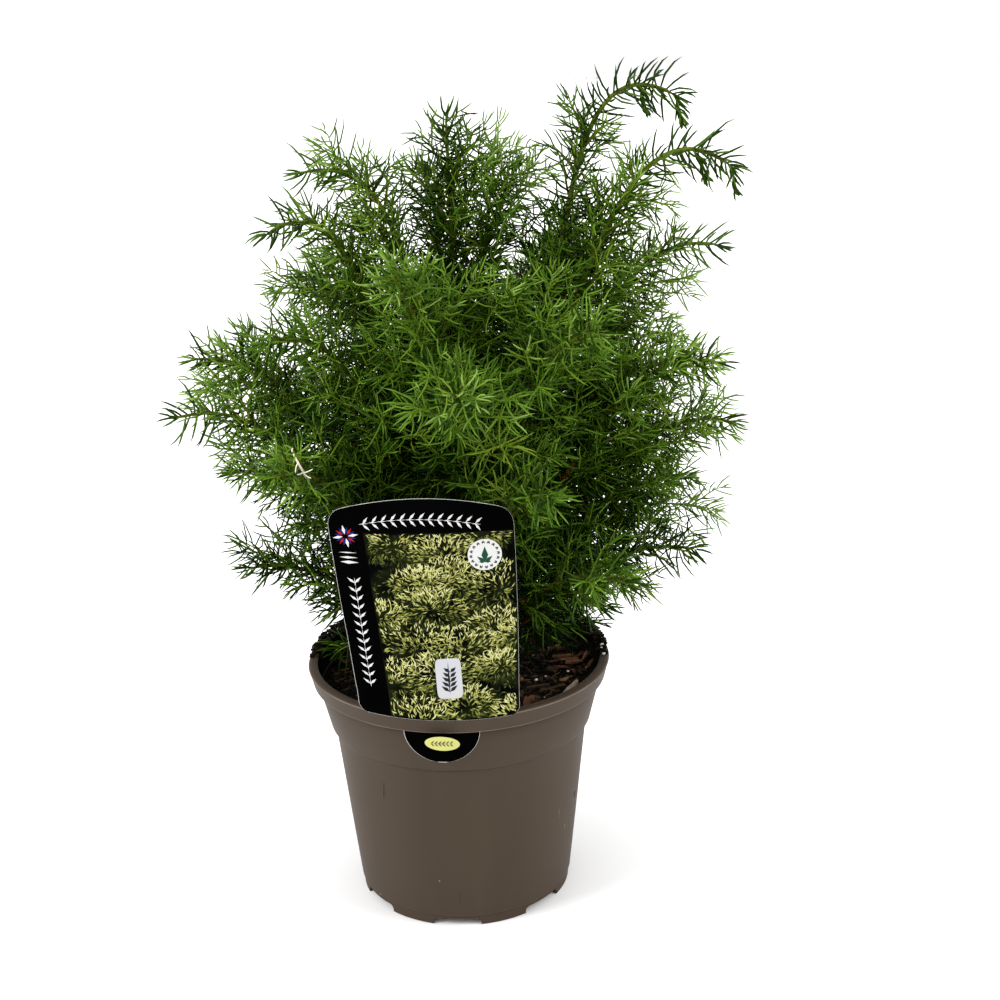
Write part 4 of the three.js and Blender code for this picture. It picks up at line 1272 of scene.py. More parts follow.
def outward(axes: Array, rolls: Array) -> Array:
    """Returns directions across shoots, turned about them by the rolls, in radians."""
    level = np.cross(axes, UP)
    steep = np.linalg.norm(level, axis=1) < 0.05
    level[steep] = (1, 0, 0)
    level = unit(level)
    lift = np.cross(level, axes)
    return level * np.cos(rolls)[:, None] + lift * np.sin(rolls)[:, None]


class Order(Enum):
    """How far a shoot is from the trunk; dead wood carries nothing."""

    STEM = 0
    TWIG = 1
    SPRIG = 2
    TASSEL = 3
    DEAD = 4


class Bark(IntEnum):
    """The skin of twigs, in the order of their materials."""

    BROWN = 0
    OLIVE = 1
    YOUNG = 2


class Green(IntEnum):
    """The greens of needles, in the order of their materials: from painted shade to painted light, then a
    yellow of their own.
    """

    SHADED = 0
    DEEP = 1
    FULL = 2
    FRESH = 3
    BRIGHT = 4
    YELLOW = 5


@dataclass(frozen=True)
class WoodHabit:
    """How the wood of one order of shoot is built: radii at its root and tip, in millimetres."""

    radii: Pair
    sides: int
    steps: int
    root: Bark
    tip: Bark


WOODS = {
    Order.STEM: WoodHabit((2.4, 1.1), 7, 22, Bark.BROWN, Bark.OLIVE),
    Order.TWIG: WoodHabit((0.8, 0.42), 5, 7, Bark.OLIVE, Bark.YOUNG),
    Order.SPRIG: WoodHabit((0.58, 0.4), 4, 4, Bark.YOUNG, Bark.YOUNG),
    Order.TASSEL: WoodHabit((0.7, 0.4), 4, 4, Bark.YOUNG, Bark.YOUNG),
    Order.DEAD: WoodHabit((0.75, 0.52), 7, 8, Bark.BROWN, Bark.BROWN),
}


@dataclass(frozen=True)
class NeedleHabit:
    """How the needles of one order of shoot stand: sizes in millimetres, angles in degrees."""

    spacing: float
    length: float
    first: float  # the share of the shoot that is bare at its root
    lean: float
    width: float
    droop: float = 0.28  # how far needles sag, as a share of their length


HABITS = {
    Order.STEM: NeedleHabit(2.0, 23.5, 0.1, 68, 1.38, droop=0.2),
    Order.TWIG: NeedleHabit(2.05, 24.0, 0.05, 70, 1.0),
    Order.SPRIG: NeedleHabit(2.05, 20.0, 0.05, 66, 0.92),
    Order.TASSEL: NeedleHabit(0.75, 13.0, 0.0, 21, 1.3, droop=0.1),
}
YOUNG_LENGTH = 12.0  # the stretch at a shoot's tip where its needles are short and upright
YOUNG_LEAN = 24.0  # the angle of needles at the very tip, in degrees
LEAN_PLAY = 19.0
CROWDING = 1.22  # how much closer needles stand towards a shoot's tip

NEEDLE_RINGS = ((0.05, 0.8), (0.38, 1.0), (0.76, 0.78))  # place along a needle, and share of its width


def needle_corners() -> Array:
    """Returns the triangles of one needle: root, its rings of three, and tip."""
    corners = [[0, 2, 1], [0, 3, 2], [0, 1, 3]]
    for ring in range(len(NEEDLE_RINGS) - 1):
        for k in range(3):
            i, j = 1 + 3 * ring + k, 1 + 3 * ring + (k + 1) % 3
            corners += [[i, j, j + 3], [i, j + 3, i + 3]]
    last = 3 * len(NEEDLE_RINGS)
    corners += [[last - 2 + k, last - 2 + (k + 1) % 3, last + 1] for k in range(3)]
    return np.array(corners)


NEEDLE_CORNERS = needle_corners()


def needle_blades(roots: Array, bends: Array, tips: Array, width: float) -> Array:
    """Builds curved needles of three sides.

    Args:
        roots: where each needle starts.
        bends: the point that each curve is drawn towards.
        tips: where each ends.
        width: the thickness of all.

    Returns:
        The vertices of each needle: root, its rings of three, and tip.
    """
    blades = np.empty((len(roots), 2 + 3 * len(NEEDLE_RINGS), 3))
    blades[:, 0], blades[:, -1] = roots, tips
    axis = unit(tips - roots)
    side = unit(np.cross(axis, UP) + 1e-6)
    lift = np.cross(side, axis)
    for ring, (t, share) in enumerate(NEEDLE_RINGS):
        middle = roots * (1 - t) ** 2 + bends * 2 * t * (1 - t) + tips * t * t
        for k in range(3):
            turn = 2 * math.pi * k / 3 + math.pi / 2
            offset = side * math.cos(turn) + lift * math.sin(turn)
            blades[:, 1 + 3 * ring + k] = middle + offset * width * 0.58 * share
    return blades


@dataclass(frozen=True)
class Trunk:
    """The short stem from the compost to its fork."""

    foot: Triple = (1.0, 0.0, 142.0)
    fork: Triple = (6.0, 3.0, 238.0)
    bow: float = 2.0
    fork_radius: float = 3.4
    taper: float = 2.4
    flare: float = 3.4
    flare_height: float = 4.0
    sides: int = 22
    rings: int = 60
    ring_crowding: float = 1.35  # how much closer rings stand towards the root
    ridge_height: float = 0.45
    ridges: float = 0.34  # ridges for each millimetre across

    def share(self, z: float) -> float:
        """Returns how far up the trunk a height is, from 0 to 1."""
        return (z - self.foot[2]) / (self.fork[2] - self.foot[2])

    def centre(self, z: float) -> Array:
        """Returns the trunk's middle at a height."""
        share = self.share(z)
        middle = np.array(self.foot) * (1 - share) + np.array(self.fork) * share
        middle[0] += self.bow * math.sin(math.pi * share)
        return middle

    def radius(self, z: float) -> float:
        """Returns the trunk's radius at a height, with the flare of its root."""
        flare = self.flare * math.exp(-(z - self.foot[2]) / self.flare_height)
        return self.fork_radius + self.taper * (1 - self.share(z)) + flare

    def build(self) -> None:
        """Models the trunk ring by ring and gives it bark with ridges."""
        pick()
        bpy.ops.mesh.primitive_circle_add(vertices=self.sides, radius=self.radius(self.foot[2]) * MM,
                                          fill_type="NGON")
        piece = named("trunk_bark")
        bpy.ops.object.mode_set(mode="EDIT")
        bpy.ops.mesh.select_all(action="SELECT")
        bpy.ops.transform.translate(value=tuple(np.array(self.foot) * MM))
        rise = np.linspace(0, 1, self.rings) ** self.ring_crowding
        heights = self.foot[2] + (self.fork[2] - self.foot[2]) * rise
        for low, high in zip(heights, heights[1:]):
            step = (self.centre(high) - self.centre(low)) * MM
            bpy.ops.mesh.extrude_region_move(TRANSFORM_OT_translate={"value": tuple(step)})
            ratio = self.radius(high) / self.radius(low)
            bpy.ops.transform.resize(value=(ratio, ratio, 1), center_override=tuple(self.centre(high) * MM))
        bpy.ops.object.mode_set(mode="OBJECT")
        tidy_surface(piece, 60)
        roughen(piece, self.ridge_height, self.ridges, keep_below=self.foot[2] + 0.01)
        dress(piece, "bark", TRUNK_BARK.material(), replaces=("trunk",))


def roughen(piece: Piece, depth: float, pitch: float, keep_below: float = -1.0) -> None:
    """Raises long ridges and flakes along a limb.

    Args:
        piece: the limb's mesh.
        depth: the height of the ridges.
        pitch: ridges for each millimetre across.
        keep_below: the height up to which points stay where they are.
    """
    normals = np.array([tuple(vertex.normal) for vertex in piece.data.vertices])
    points = points_of(piece)
    ridges = []
    for x, y, z in points * pitch:
        ridge = abs(noise.noise(Vector((x, y, z * 0.22))))
        ridges.append(ridge + 0.4 * noise.noise(Vector((x * 2.4, y * 2.4, z * 0.9))))
    raised = np.where(points[:, 2] < keep_below, 0, ridges)
    move_points(piece, points + normals * (depth * (raised - 0.2))[:, None])


TRUNK = Trunk()


@dataclass(frozen=True)
class Bough:
    """One bough and its mass: angles in degrees, sizes in millimetres.

    It leaves the trunk at `start` with the slope `rise` and ends at azimuth, reach and top with the
    slope `tip`. `spread` is its longest side twig, `bare` the outer share that carries needles but no
    side twigs, and `limb` the share that is a bare limb.
    """

    name: str
    azimuth: float
    reach: float
    top: float
    start: float
    rise: float
    tip: float
    spread: float
    bare: float
    limb: float

    @property
    def nods(self) -> bool:
        """Tells whether its outer part carries no side twigs, so that it nods."""
        return self.bare > 0.2


BOUGHS = tuple(Bough(*row) for row in (
    ("leader_middle", 80, 20, 488, 238.3, 88, 84, 60, 0, 0),
    ("leader_right", 0, 136.7, 494.5, 219, 52, -30, 58, 0.28, 0.4),
    ("leader_outer", -8, 167, 455.5, 210, 60, -38, 58, 0.26, 0.4),
    ("leader_inner", 24, 50, 455, 230.5, 76, 50, 46, 0, 0),
    ("leader_left", 178, 83, 457, 219, 75, -14, 46, 0.1, 0.4),
    ("leader_wide", 188, 104, 424, 207.5, 64, -34, 40, 0.08, 0.4),
    ("leader_front", -108, 96, 412, 215.5, 70, 30, 54, 0, 0.38),
    ("leader_back", 104, 40, 454, 226.5, 76, 60, 52, 0, 0),
    ("shoulder_right", 8, 169, 405, 197, 50, -15, 54, 0.1, 0.4),
    ("shoulder_left", 206, 116, 368, 189, 58, -14, 54, 0, 0.38),
    ("front_high", -88, 140, 354, 208, 60, 8, 56, 0, 0.38),
    ("front_right_high", -50, 130, 382, 202, 58, 15, 56, 0, 0.38),
    ("back_right_high", 52, 134, 394, 204, 56, -8, 58, 0, 0.38),
    ("back_left_high", 140, 126, 384, 200, 58, -8, 58, 0, 0.38),
    ("side_right_high", -10, 162, 344, 190.5, 44, -12, 54, 0, 0.38),
    ("side_left_high", 174, 156, 347, 195.5, 45, -6, 48, 0, 0.38),
    ("side_right", 3, 174, 298, 179, 36, -18, 54, 0, 0.38),
    ("side_left", 188, 164, 320, 180, 40, -16, 50, 0.05, 0.4),
    ("front_right", -66, 130, 290, 186, 40, -6, 56, 0, 0.38),
    ("front_left", 218, 132, 298, 174, 42, -8, 56, 0, 0.38),
    ("back_right", 34, 158, 304, 187, 40, -14, 58, 0, 0.38),
    ("back", 88, 160, 322, 193.5, 42, -14, 60, 0, 0.38),
    ("back_left", 140, 154, 296, 187.5, 40, -14, 58, 0, 0.38),
    ("middle_right", 12, 156, 256, 170, 31, -14, 50, 0, 0.38),
    ("middle_left", 172, 140, 274, 171.5, 34, -12, 50, 0, 0.38),
    ("low_right", -10, 149, 228, 163.5, 29, -12, 40, 0, 0),
    ("low_front_right", -42, 132, 230, 174, 28, -12, 50, 0, 0),
    ("low_left", 192, 128, 227, 162, 29, -6, 31, 0, 0),
    ("low_back_right", 60, 146, 232, 172.5, 30, -16, 54, 0, 0),
    ("low_back_left", 118, 142, 222, 163.5, 30, -18, 54, 0, 0),
    ("skirt_right", -32, 106, 204, 155, 33, -12, 23, 0, 0),
    ("skirt_left", 216, 92, 207, 156, 35, -12, 23, 0, 0),
))


@dataclass(frozen=True)
class Reach:
    """A side shoot that grows from a share of a bough to a place of its own, in millimetres."""

    bough: str
    share: float
    end: Triple


REACHES = tuple(Reach(*row) for row in (
    ("shoulder_right", 0.50, (137, 22, 362)),
    ("shoulder_right", 0.65, (152, 18, 386)),
    ("leader_outer", 0.65, (132, -14, 433)),
    ("leader_outer", 0.70, (106, -18, 466)),
    ("leader_outer", 0.80, (129, -10, 448)),
    ("leader_right", 0.68, (73, -6, 495)),
    ("leader_right", 0.62, (62, 2, 470)),
    ("leader_right", 0.66, (99, -8, 482)),
    ("middle_right", 0.55, (166, 20, 238)),
    ("middle_right", 0.40, (129, 10, 245)),
    ("low_right", 0.45, (126, -10, 236)),
    ("leader_wide", 0.55, (-102, -8, 392)),
    ("side_left_high", 0.55, (-127, 14, 364)),
    ("side_left_high", 0.70, (-156, 16, 326)),
    ("side_left", 0.50, (-138, -20, 300)),
    ("low_left", 0.45, (-130, -22, 236)),
    ("skirt_left", 0.50, (-96, -42, 222)),
    ("leader_inner", 0.60, (56, 12, 461)),
    ("leader_inner", 0.72, (33, 12, 465)),
    ("leader_left", 0.75, (-72, 4, 472)),
    ("leader_middle", 0.70, (-17, 10, 462)),
    ("leader_middle", 0.80, (20, 10, 479)),
    ("leader_left", 0.50, (-58, 0, 430)),
    ("leader_wide", 0.45, (-66, -4, 400)),
    ("leader_outer", 0.58, (114, -6, 424)),
    ("side_right", 0.55, (126, 4, 312)),
    ("side_right_high", 0.40, (100, -10, 352)),
    ("shoulder_right", 0.45, (106, 2, 362)),
    ("leader_left", 0.45, (-62, 6, 416)),
    ("skirt_left", 0.30, (-79, -8, 163)),
    ("skirt_right", 0.30, (86, 14, 167)),
    ("leader_outer", 0.62, (120, -10, 434)),
    ("leader_outer", 0.50, (108, -4, 420)),
    ("shoulder_right", 0.50, (125, 8, 378)),
    ("side_right_high", 0.50, (131, -5, 358)),
    ("side_right", 0.45, (135, -4, 320)),
    ("side_right", 0.50, (141, -4, 292)),
    ("side_left_high", 0.60, (-142, -8, 340)),
    ("leader_left", 0.55, (-54, 4, 439)),
    ("leader_back", 0.80, (46, 34, 468)),
    ("leader_front", 0.60, (20, -45, 403)),
    ("leader_front", 0.50, (47, -40, 397)),
    ("front_right_high", 0.45, (62, -30, 401)),
    ("leader_outer", 0.50, (92, -8, 446)),
    ("side_right", 0.42, (118, -16, 300)),
    ("side_right", 0.50, (128, 22, 286)),
    ("middle_right", 0.50, (130, -8, 268)),
    ("side_right_high", 0.45, (114, -8, 340)),
    ("back_right", 0.60, (112, 40, 326)),
    ("low_front_right", 0.55, (117, -28, 203)),
))


class Tier(Enum):
    """The crown's tiers, by the height of a bough's tip: each has its own pieces."""

    LEADERS = 455.0
    SHOULDERS = 383.0
    HIGH = 340.0
    MIDDLE = 292.0
    LOWER = 225.0
    SKIRT = 0.0

    @classmethod
    def of(cls, bough: Bough) -> "Tier":
        """Returns the tier that a bough is part of."""
        return next(tier for tier in cls if bough.top >= tier.value)


class Shoot:
    """A curve with a radius that tapers from its root to its tip."""

    def __init__(self, points: list[Array], radii: Pair, order: Order, seed: int) -> None:
        """Measures the shoot.

        Args:
            points: the four points of its curve.
            radii: the radii at its root and tip.
            order: how far it is from the trunk.
            seed: what sets its dice apart.
        """
        self.points = np.array(points)
        self.radii = radii
        self.order = order
        self.seed = seed
        samples = self.at(np.linspace(0, 1, 201))
        self.length = float(np.linalg.norm(np.diff(samples, axis=0), axis=1).sum())

    def at(self, t: Array) -> Array:
        """Returns points of the curve."""
        t = np.atleast_1d(t)[:, None]
        a, b, c, d = self.points
        return a * (1 - t) ** 3 + b * 3 * t * (1 - t) ** 2 + c * 3 * t * t * (1 - t) + d * t**3

    def along(self, t: Array) -> Array:
        """Returns the curve's directions."""
        t = np.atleast_1d(t)[:, None]
        a, b, c, d = self.points
        return unit((b - a) * (1 - t) ** 2 + (c - b) * 2 * t * (1 - t) + (d - c) * t * t)

    def radius(self, t: Array) -> Array:
        """Returns the radii along the curve."""
        return self.radii[0] + (self.radii[1] - self.radii[0]) * t

    def side(self, order: Order, index: int, t: float, turn: float, lean: float, length: float,
             nod: float) -> "Shoot":
        """Grows a side shoot, which turns up a little and then nods at its tip.

        Args:
            order: its order.
            index: its number on this shoot.
            t: where it leaves, from 0 to 1.
            turn: how far round the shoot it leaves, in radians.
            lean: the angle at which it leaves, in radians.
            length: its length.
            nod: how far its tip turns upwards, or less than 0 to turn down.

        Returns:
            The side shoot.
        """
        foot, axis = self.at(t)[0], self.along(t)
        leave = outward(axis, np.array([turn + self.seed]))[0] * math.sin(lean) + axis[0] * math.cos(lean)
        climb = unit(leave + UP * 0.35 + axis[0] * 0.25)
        end = foot + leave * length * 0.45 + climb * length * 0.5
        arrive = unit(climb + UP * nod)
        points = [foot, foot + leave * length * 0.35, end - arrive * length * 0.3, end]
        return Shoot(points, WOODS[order].radii, order, self.side_seed(index))

    def side_seed(self, index: int) -> int:
        """Returns the seed of a side shoot."""
        return self.seed * 31 + index


def twig_share(u: float) -> float:
    """Returns the length of side twigs along a bough: long in its lower part, short at its tip."""
    return min(1.0, 0.55 + 2.2 * u) * (1 - u) ** 0.62 + 0.14


@dataclass
class Storey:
    """What one tier gathers: its wood, its needles and the CAD masses that they replace."""

    wood: Heap = field(default_factory=Heap)
    green: Heap = field(default_factory=Heap)
    masses: list[str] = field(default_factory=list)


@dataclass
class Crown:
    """All that grows from the trunk, in six tiers."""

    first_twig: float = 0.16
    twig_spacing: float = 6.5
    open_spacing: float = 7.5
    sprig_spacing: float = 9.0
    open_boughs: tuple[str, ...] = (
        "leader_middle", "leader_right", "leader_left", "leader_wide", "side_left_high", "low_left",
        "skirt_right", "skirt_left", "low_front_right")
    twig_lean: Triple = (62.0, 24.0, 9.0)  # degrees at the root, how much less at the tip, and play
    sprig_lean: Triple = (54.0, 14.0, 10.0)
    shortest_sprig: float = 8.0
    vigour: float = 1.08
    inner_twigs: int = 7
    inner_length: Pair = (30.0, 14.0)
    tassels: tuple[float, ...] = (0.89, 0.99)
    long_stem: float = 230.0
    short_radius: float = 1.9
    soft_tip: float = 0.9
    reach_radii: Pair = (0.95, 0.45)
    outer_part: Pair = (0.6, 1.0)
    over_compost: float = 146.0
    over_rim: float = 160.0
    rim_radius: float = 85.0
    label_top: float = 296.0
    front_bottom: float = 283.0
    label_box: Pair = (-74.0, 39.0)
    card_sides: Pair = (-68.0, 34.0)
    card_gap: float = 2.0
    half_size: Pair = (140.0, 144.0)  # of the crown, across and in depth
    yellow_from: float = 0.975
    # painted shade by bough: these boughs are dealt darker greens
    shaded_boughs: tuple[str, ...] = (
        "leader_right", "leader_outer", "low_left", "low_right", "skirt_left", "skirt_right")
    shade_steps: float = 0.9
    # painted light by bough: these boughs are dealt lighter greens
    lit_boughs: tuple[str, ...] = ("leader_back", "leader_inner", "leader_left", "leader_front")
    light_steps: float = 0.6
    dead_stalks: tuple[tuple[tuple[Triple, ...], float], ...] = (
        (((-81.4, -67.8, 292.6), (-84.9, -81.8, 305.6), (-87.8, -85.5, 315.0)), 0.75),
        (((-87.6, -85.5, 314.6), (-88.0, -85.9, 316.0), (-87.0, -86.1, 317.0)), 0.45),
        (((-84.7, -83.4, 308.2), (-86.8, -85.0, 305.6), (-86.6, -85.8, 302.2)), 0.36),
        (((-83.6, -77.2, 300.2), (-84.2, -82.9, 300.6), (-86.4, -84.1, 301.0)), 0.4),
        (((-83.4, -76.8, 299.8), (-80.6, -82.9, 301.8), (-76.8, -83.9, 304.0)), 0.4),
        (((-83.0, -74.8, 298.6), (-80.8, -81.9, 299.0), (-78.4, -82.7, 298.2)), 0.4),
    )

    def has_room(self, points: Array) -> Array:
        """Tells which points are clear of the compost, the rim and the label."""
        x, y, z = points.T
        clear = (z > self.over_compost) & ((z > self.over_rim) | (np.hypot(x, y) < self.rim_radius))
        near_label = (z < self.label_top) & (x > self.label_box[0]) & (x < self.label_box[1])
        card = LABEL.surface(np.clip(x, *self.card_sides), z, LABEL.flare)
        over_its_top = (y < card - self.card_gap) & (z > self.front_bottom)
        return clear & (~near_label | (y > card + self.card_gap) | over_its_top)

    def with_room(self, shoots: list[Shoot]) -> list[Shoot]:
        """Returns the shoots whose outer part is clear of everything else."""
        outer = np.array(self.outer_part)
        return [shoot for shoot in shoots if self.has_room(shoot.at(outer)).all()]

    def stem(self, bough: Bough, index: int) -> Shoot:
        """Works out a bough's whole curve, from the trunk's bark to its tip.

        Args:
            bough: the bough.
            index: its number, which sets its dice apart.

        Returns:
            The bough's stem.
        """
        turn = math.radians(bough.azimuth)
        end = np.array([bough.reach * math.cos(turn), bough.reach * math.sin(turn), bough.top])
        middle = TRUNK.centre(bough.start)
        course = math.atan2(end[1] - middle[1], end[0] - middle[0])
        on_bark = TRUNK.radius(bough.start) if bough.start < TRUNK.fork[2] else 0.0
        foot = middle + heading(course, 0) * on_bark
        span = float(np.linalg.norm(end - foot))
        leave = heading(course, math.radians(bough.rise))
        arrive = heading(course, math.radians(bough.tip))
        thick, firm = WOODS[Order.STEM].radii
        radii = (thick if span > self.long_stem else self.short_radius, firm if bough.nods else self.soft_tip)
        points = [foot, foot + leave * span * 0.4, end - arrive * span * 0.33, end]
        return Shoot(points, radii, Order.STEM, 11 + 17 * index)

    @staticmethod
    def leaning(lean: Triple, share: float, seed: int, index: int) -> float:
        """Returns the angle at which a side shoot leaves, in radians: less towards its parent's tip."""
        first, less, play = lean
        return math.radians(first - less * share + play * float(swing(seed, index, 2)))

    def twigs(self, bough: Bough, stem: Shoot) -> list[Shoot]:
        """Grows the side twigs of a bough: those along it, those near the trunk, and its reaches.

        Args:
            bough: the bough.
            stem: its stem.

        Returns:
            The twigs that have room.
        """
        last = 1 - bough.bare
        spacing = self.open_spacing if bough.name in self.open_boughs else self.twig_spacing
        count = int(stem.length * (last - self.first_twig) / spacing)
        grown = []
        for i in range(count):
            u = (i + 0.5 + 0.35 * float(swing(stem.seed, i, 1))) / count
            lean = self.leaning(self.twig_lean, u, stem.seed, i)
            length = self.vigour * bough.spread * twig_share(u) * (0.84 + 0.3 * float(swing(stem.seed, i, 3)))
            nod = -0.3 - 0.8 * float(chance(stem.seed, i, 4))
            t = self.first_twig + (last - self.first_twig) * u * 0.97
            grown.append(stem.side(Order.TWIG, i, t, i * GOLDEN_ANGLE, lean, length, nod))
        for i in range(self.inner_twigs):
            t = self.first_twig + 0.3 * (i + 0.5) / self.inner_twigs
            length = self.inner_length[0] + self.inner_length[1] * float(swing(stem.seed, i, 21))
            turn = i * GOLDEN_ANGLE + 1.0
            grown.append(stem.side(Order.TWIG, 500 + i, t, turn, math.radians(70), length, -0.2))
        grown += [self.reaching(stem, reach, stem.side_seed(700 + i)) for i, reach in enumerate(REACHES)
                  if reach.bough == bough.name]
        return self.with_room(grown)

    def reaching(self, stem: Shoot, reach: Reach, seed: int) -> Shoot:
        """Grows a side shoot to a place of its own: it leaves steeply and nods at its tip."""
        foot, end = stem.at(reach.share)[0], np.array(reach.end, dtype=float)
        way = end - foot
        span = float(np.linalg.norm(way))
        leave, arrive = unit(way + UP * span * 0.4), unit(way - UP * span * 0.35)
        points = [foot, foot + leave * span * 0.35, end - arrive * span * 0.32, end]
        return Shoot(points, self.reach_radii, Order.TWIG, seed)

    def sprigs(self, twig: Shoot) -> list[Shoot]:
        """Grows the finer shoots of a twig, as far as they have room."""
        count = int(twig.length / self.sprig_spacing)
        grown = []
        for j in range(count):
            v = (j + 0.5) / count
            length = twig.length * (0.55 * (1 - v) + 0.22) * (0.85 + 0.35 * float(swing(twig.seed, j, 3)))
            if length > self.shortest_sprig:
                lean = self.leaning(self.sprig_lean, v, twig.seed, j)
                grown.append(twig.side(Order.SPRIG, j, 0.2 + 0.72 * v, j * GOLDEN_ANGLE, lean, length, -0.5))
        return self.with_room(grown)

    def hanging(self, bough: Bough, stem: Shoot) -> list[Shoot]:
        """Grows the short packed shoots that hang at the tip of a nodding leader, and none elsewhere."""
        grown = []
        for i, t in enumerate(self.tassels if bough.nods else ()):
            foot, axis = stem.at(t)[0], stem.along(t)[0]
            sway = np.array([float(swing(stem.seed, i, 7)), float(swing(stem.seed, i, 8)), 0]) * 0.2
            fall = unit(axis * 0.5 - UP * 0.9 + sway)
            length = 15 + 7 * float(chance(stem.seed, i, 9))
            end = foot + fall * length
            points = [foot, foot + unit(axis + fall) * length * 0.33, end - fall * length * 0.3, end]
            grown.append(Shoot(points, WOODS[Order.TASSEL].radii, Order.TASSEL, stem.side_seed(900 + i)))
        return grown

    def build(self) -> None:
        """Grows every bough, and builds each tier's bark, twigs and needles."""
        storeys = {tier: Storey() for tier in Tier}
        limbs = []
        for index, bough in enumerate(BOUGHS):
            stem = self.stem(bough, index)
            twigs = self.twigs(bough, stem)
            sprigs = [sprig for twig in twigs for sprig in self.sprigs(twig)]
            storey = storeys[Tier.of(bough)]
            storey.masses.append(f"foliage_{bough.name}")
            if bough.limb:
                limbs.append(limb_piece(bough, stem))
            # painted light and shade: a bough's greens stepped lighter or darker
            light_shift = self.light_steps * (bough.name in self.lit_boughs)
            light_shift -= self.shade_steps * (bough.name in self.shaded_boughs)
            for shoot in [stem, *twigs, *sprigs, *self.hanging(bough, stem)]:
                first = max(0.0, bough.limb - 0.01) if shoot is stem else 0.0
                self.add_wood(storey.wood, shoot, first)
                self.add_needles(storey.green, shoot, light_shift)
        self.finish(storeys, limbs)
        self.dead_sprig()

    def dead_sprig(self) -> None:
        """Builds the one bleached, bare sprig: a forked stalk with broken stubs at its foot."""
        heap = Heap()
        for points, radius in self.dead_stalks:
            a, b, c = (np.array(point) for point in points)
            curve = [a, a + (b - a) * 0.67, c + (b - c) * 0.67, c]
            self.add_wood(heap, Shoot(curve, (radius, radius * 0.7), Order.DEAD, 1), 0.0)
        dress(heap.piece("dead_sprig", True), "bark", DEAD_WOOD.material())

    def finish(self, storeys: dict[Tier, Storey], limbs: list[Piece]) -> None:
        """Turns each tier's wood and needles, and the bare limbs, into dressed pieces."""
        barks = [finish.material() for finish in TWIG_BARKS]
        greens = [finish.material() for finish in NEEDLE_GREENS]
        for tier, storey in storeys.items():
            level = tier.name.lower()
            dress(storey.wood.piece(f"twigs_{level}", True), "bark", *barks)
            needles = storey.green.piece(f"needles_{level}", True)
            dress(needles, "foliage", *greens, replaces=tuple(storey.masses))
        named_limbs = tuple(f"bough_{bough.name}" for bough in BOUGHS if bough.limb)
        dress(join_pieces("bough_bark", limbs), "bark", BOUGH_BARK.material(), replaces=named_limbs)

    @staticmethod
    def add_wood(heap: Heap, shoot: Shoot, first: float) -> None:
        """Adds a shoot's tapered round wood, pointed at its tip, brown at its root and green at its end.

        Args:
            heap: the mesh that it joins.
            shoot: the shoot.
            first: where along the shoot it starts.
        """
        habit = WOODS[shoot.order]
        sides, steps = habit.sides, habit.steps
        t = first + (1 - first) * np.linspace(0, 1, steps + 1)
        centres, axes, radii = shoot.at(t), shoot.along(t), shoot.radius(t)
        side = outward(axes[:1], np.zeros(1))[0]
        i = np.arange(sides)
        turns = 2 * np.pi * i / sides
        rings = []
        for centre, axis, radius in zip(centres[:-1], axes[:-1], radii[:-1]):
            side = unit(side - axis * float(side @ axis))
            lift = np.cross(axis, side)
            rings.append(centre + radius * (np.cos(turns)[:, None] * side + np.sin(turns)[:, None] * lift))
        points = np.concatenate([*rings, centres[:1], centres[-1:]])
        j = (i + 1) % sides
        corners, tints = [], []
        for k in range(steps - 1):
            low, high = k * sides, (k + 1) * sides
            corners.append(np.stack([low + i, low + j, high + j], axis=1))
            corners.append(np.stack([low + i, high + j, high + i], axis=1))
            tints += [habit.root if t[k] < 0.45 else habit.tip] * (2 * sides)
        foot, tip, last = steps * sides, steps * sides + 1, (steps - 1) * sides
        corners.append(np.stack([j, i, np.full(sides, foot)], axis=1))
        corners.append(np.stack([last + i, last + j, np.full(sides, tip)], axis=1))
        tints += [habit.root] * sides + [habit.tip] * sides
        heap.add(points, np.concatenate(corners), np.array(tints))

    def add_needles(self, heap: Heap, shoot: Shoot, light_shift: float) -> None:
        """Adds the needles of a shoot, which are short and upright at its tip.

        Args:
            heap: the mesh that they join.
            shoot: what they grow on.
            light_shift: how many steps its bough's greens are lightened as painted light, less than 0 for
                painted shade.
        """
        habit = HABITS[shoot.order]
        count = int(shoot.length * (1 - habit.first) / habit.spacing)
        if not count:
            return
        k = np.arange(count)
        t = habit.first + (1 - habit.first) * (1 - (1 - (k + 0.5) / count) ** CROWDING)
        roots, axes = shoot.at(t), shoot.along(t)
        across = outward(axes, k * GOLDEN_ANGLE + shoot.seed + 0.9 * swing(shoot.seed, k, 10))
        grown = np.clip(shoot.length * (1 - t) / YOUNG_LENGTH, 0, 1)
        lean = YOUNG_LEAN + (habit.lean - YOUNG_LEAN) * grown
        lean = np.radians(lean + LEAN_PLAY * swing(shoot.seed, k, 5))
        size = habit.length * (0.5 + 0.5 * grown) * (0.66 + 0.5 * chance(shoot.seed, k, 6))
        size = (size * (0.8 + 0.2 * min(1.0, shoot.length / 45)))[:, None]
        droop = (0.12 - habit.droop * chance(shoot.seed, k, 11))[:, None]
        ahead = axes * np.cos(lean)[:, None] + across * np.sin(lean)[:, None]
        tips = roots + ahead * (size * 0.92) + axes * (size * 0.09) + UP * (size * droop)
        early = lean + np.radians(36 * chance(shoot.seed, k, 9) - 2)
        first_way = axes * np.cos(early)[:, None] + across * np.sin(early)[:, None]
        bends = roots + first_way * (size * 0.5)
        bends += np.cross(axes, across) * (size * 0.15 * swing(shoot.seed, k, 13)[:, None])
        free = self.has_room(tips)
        blades = needle_blades(roots[free], bends[free], tips[free], habit.width)
        heap.stamp(blades, NEEDLE_CORNERS, self.greens(shoot, t, tips, light_shift)[free])

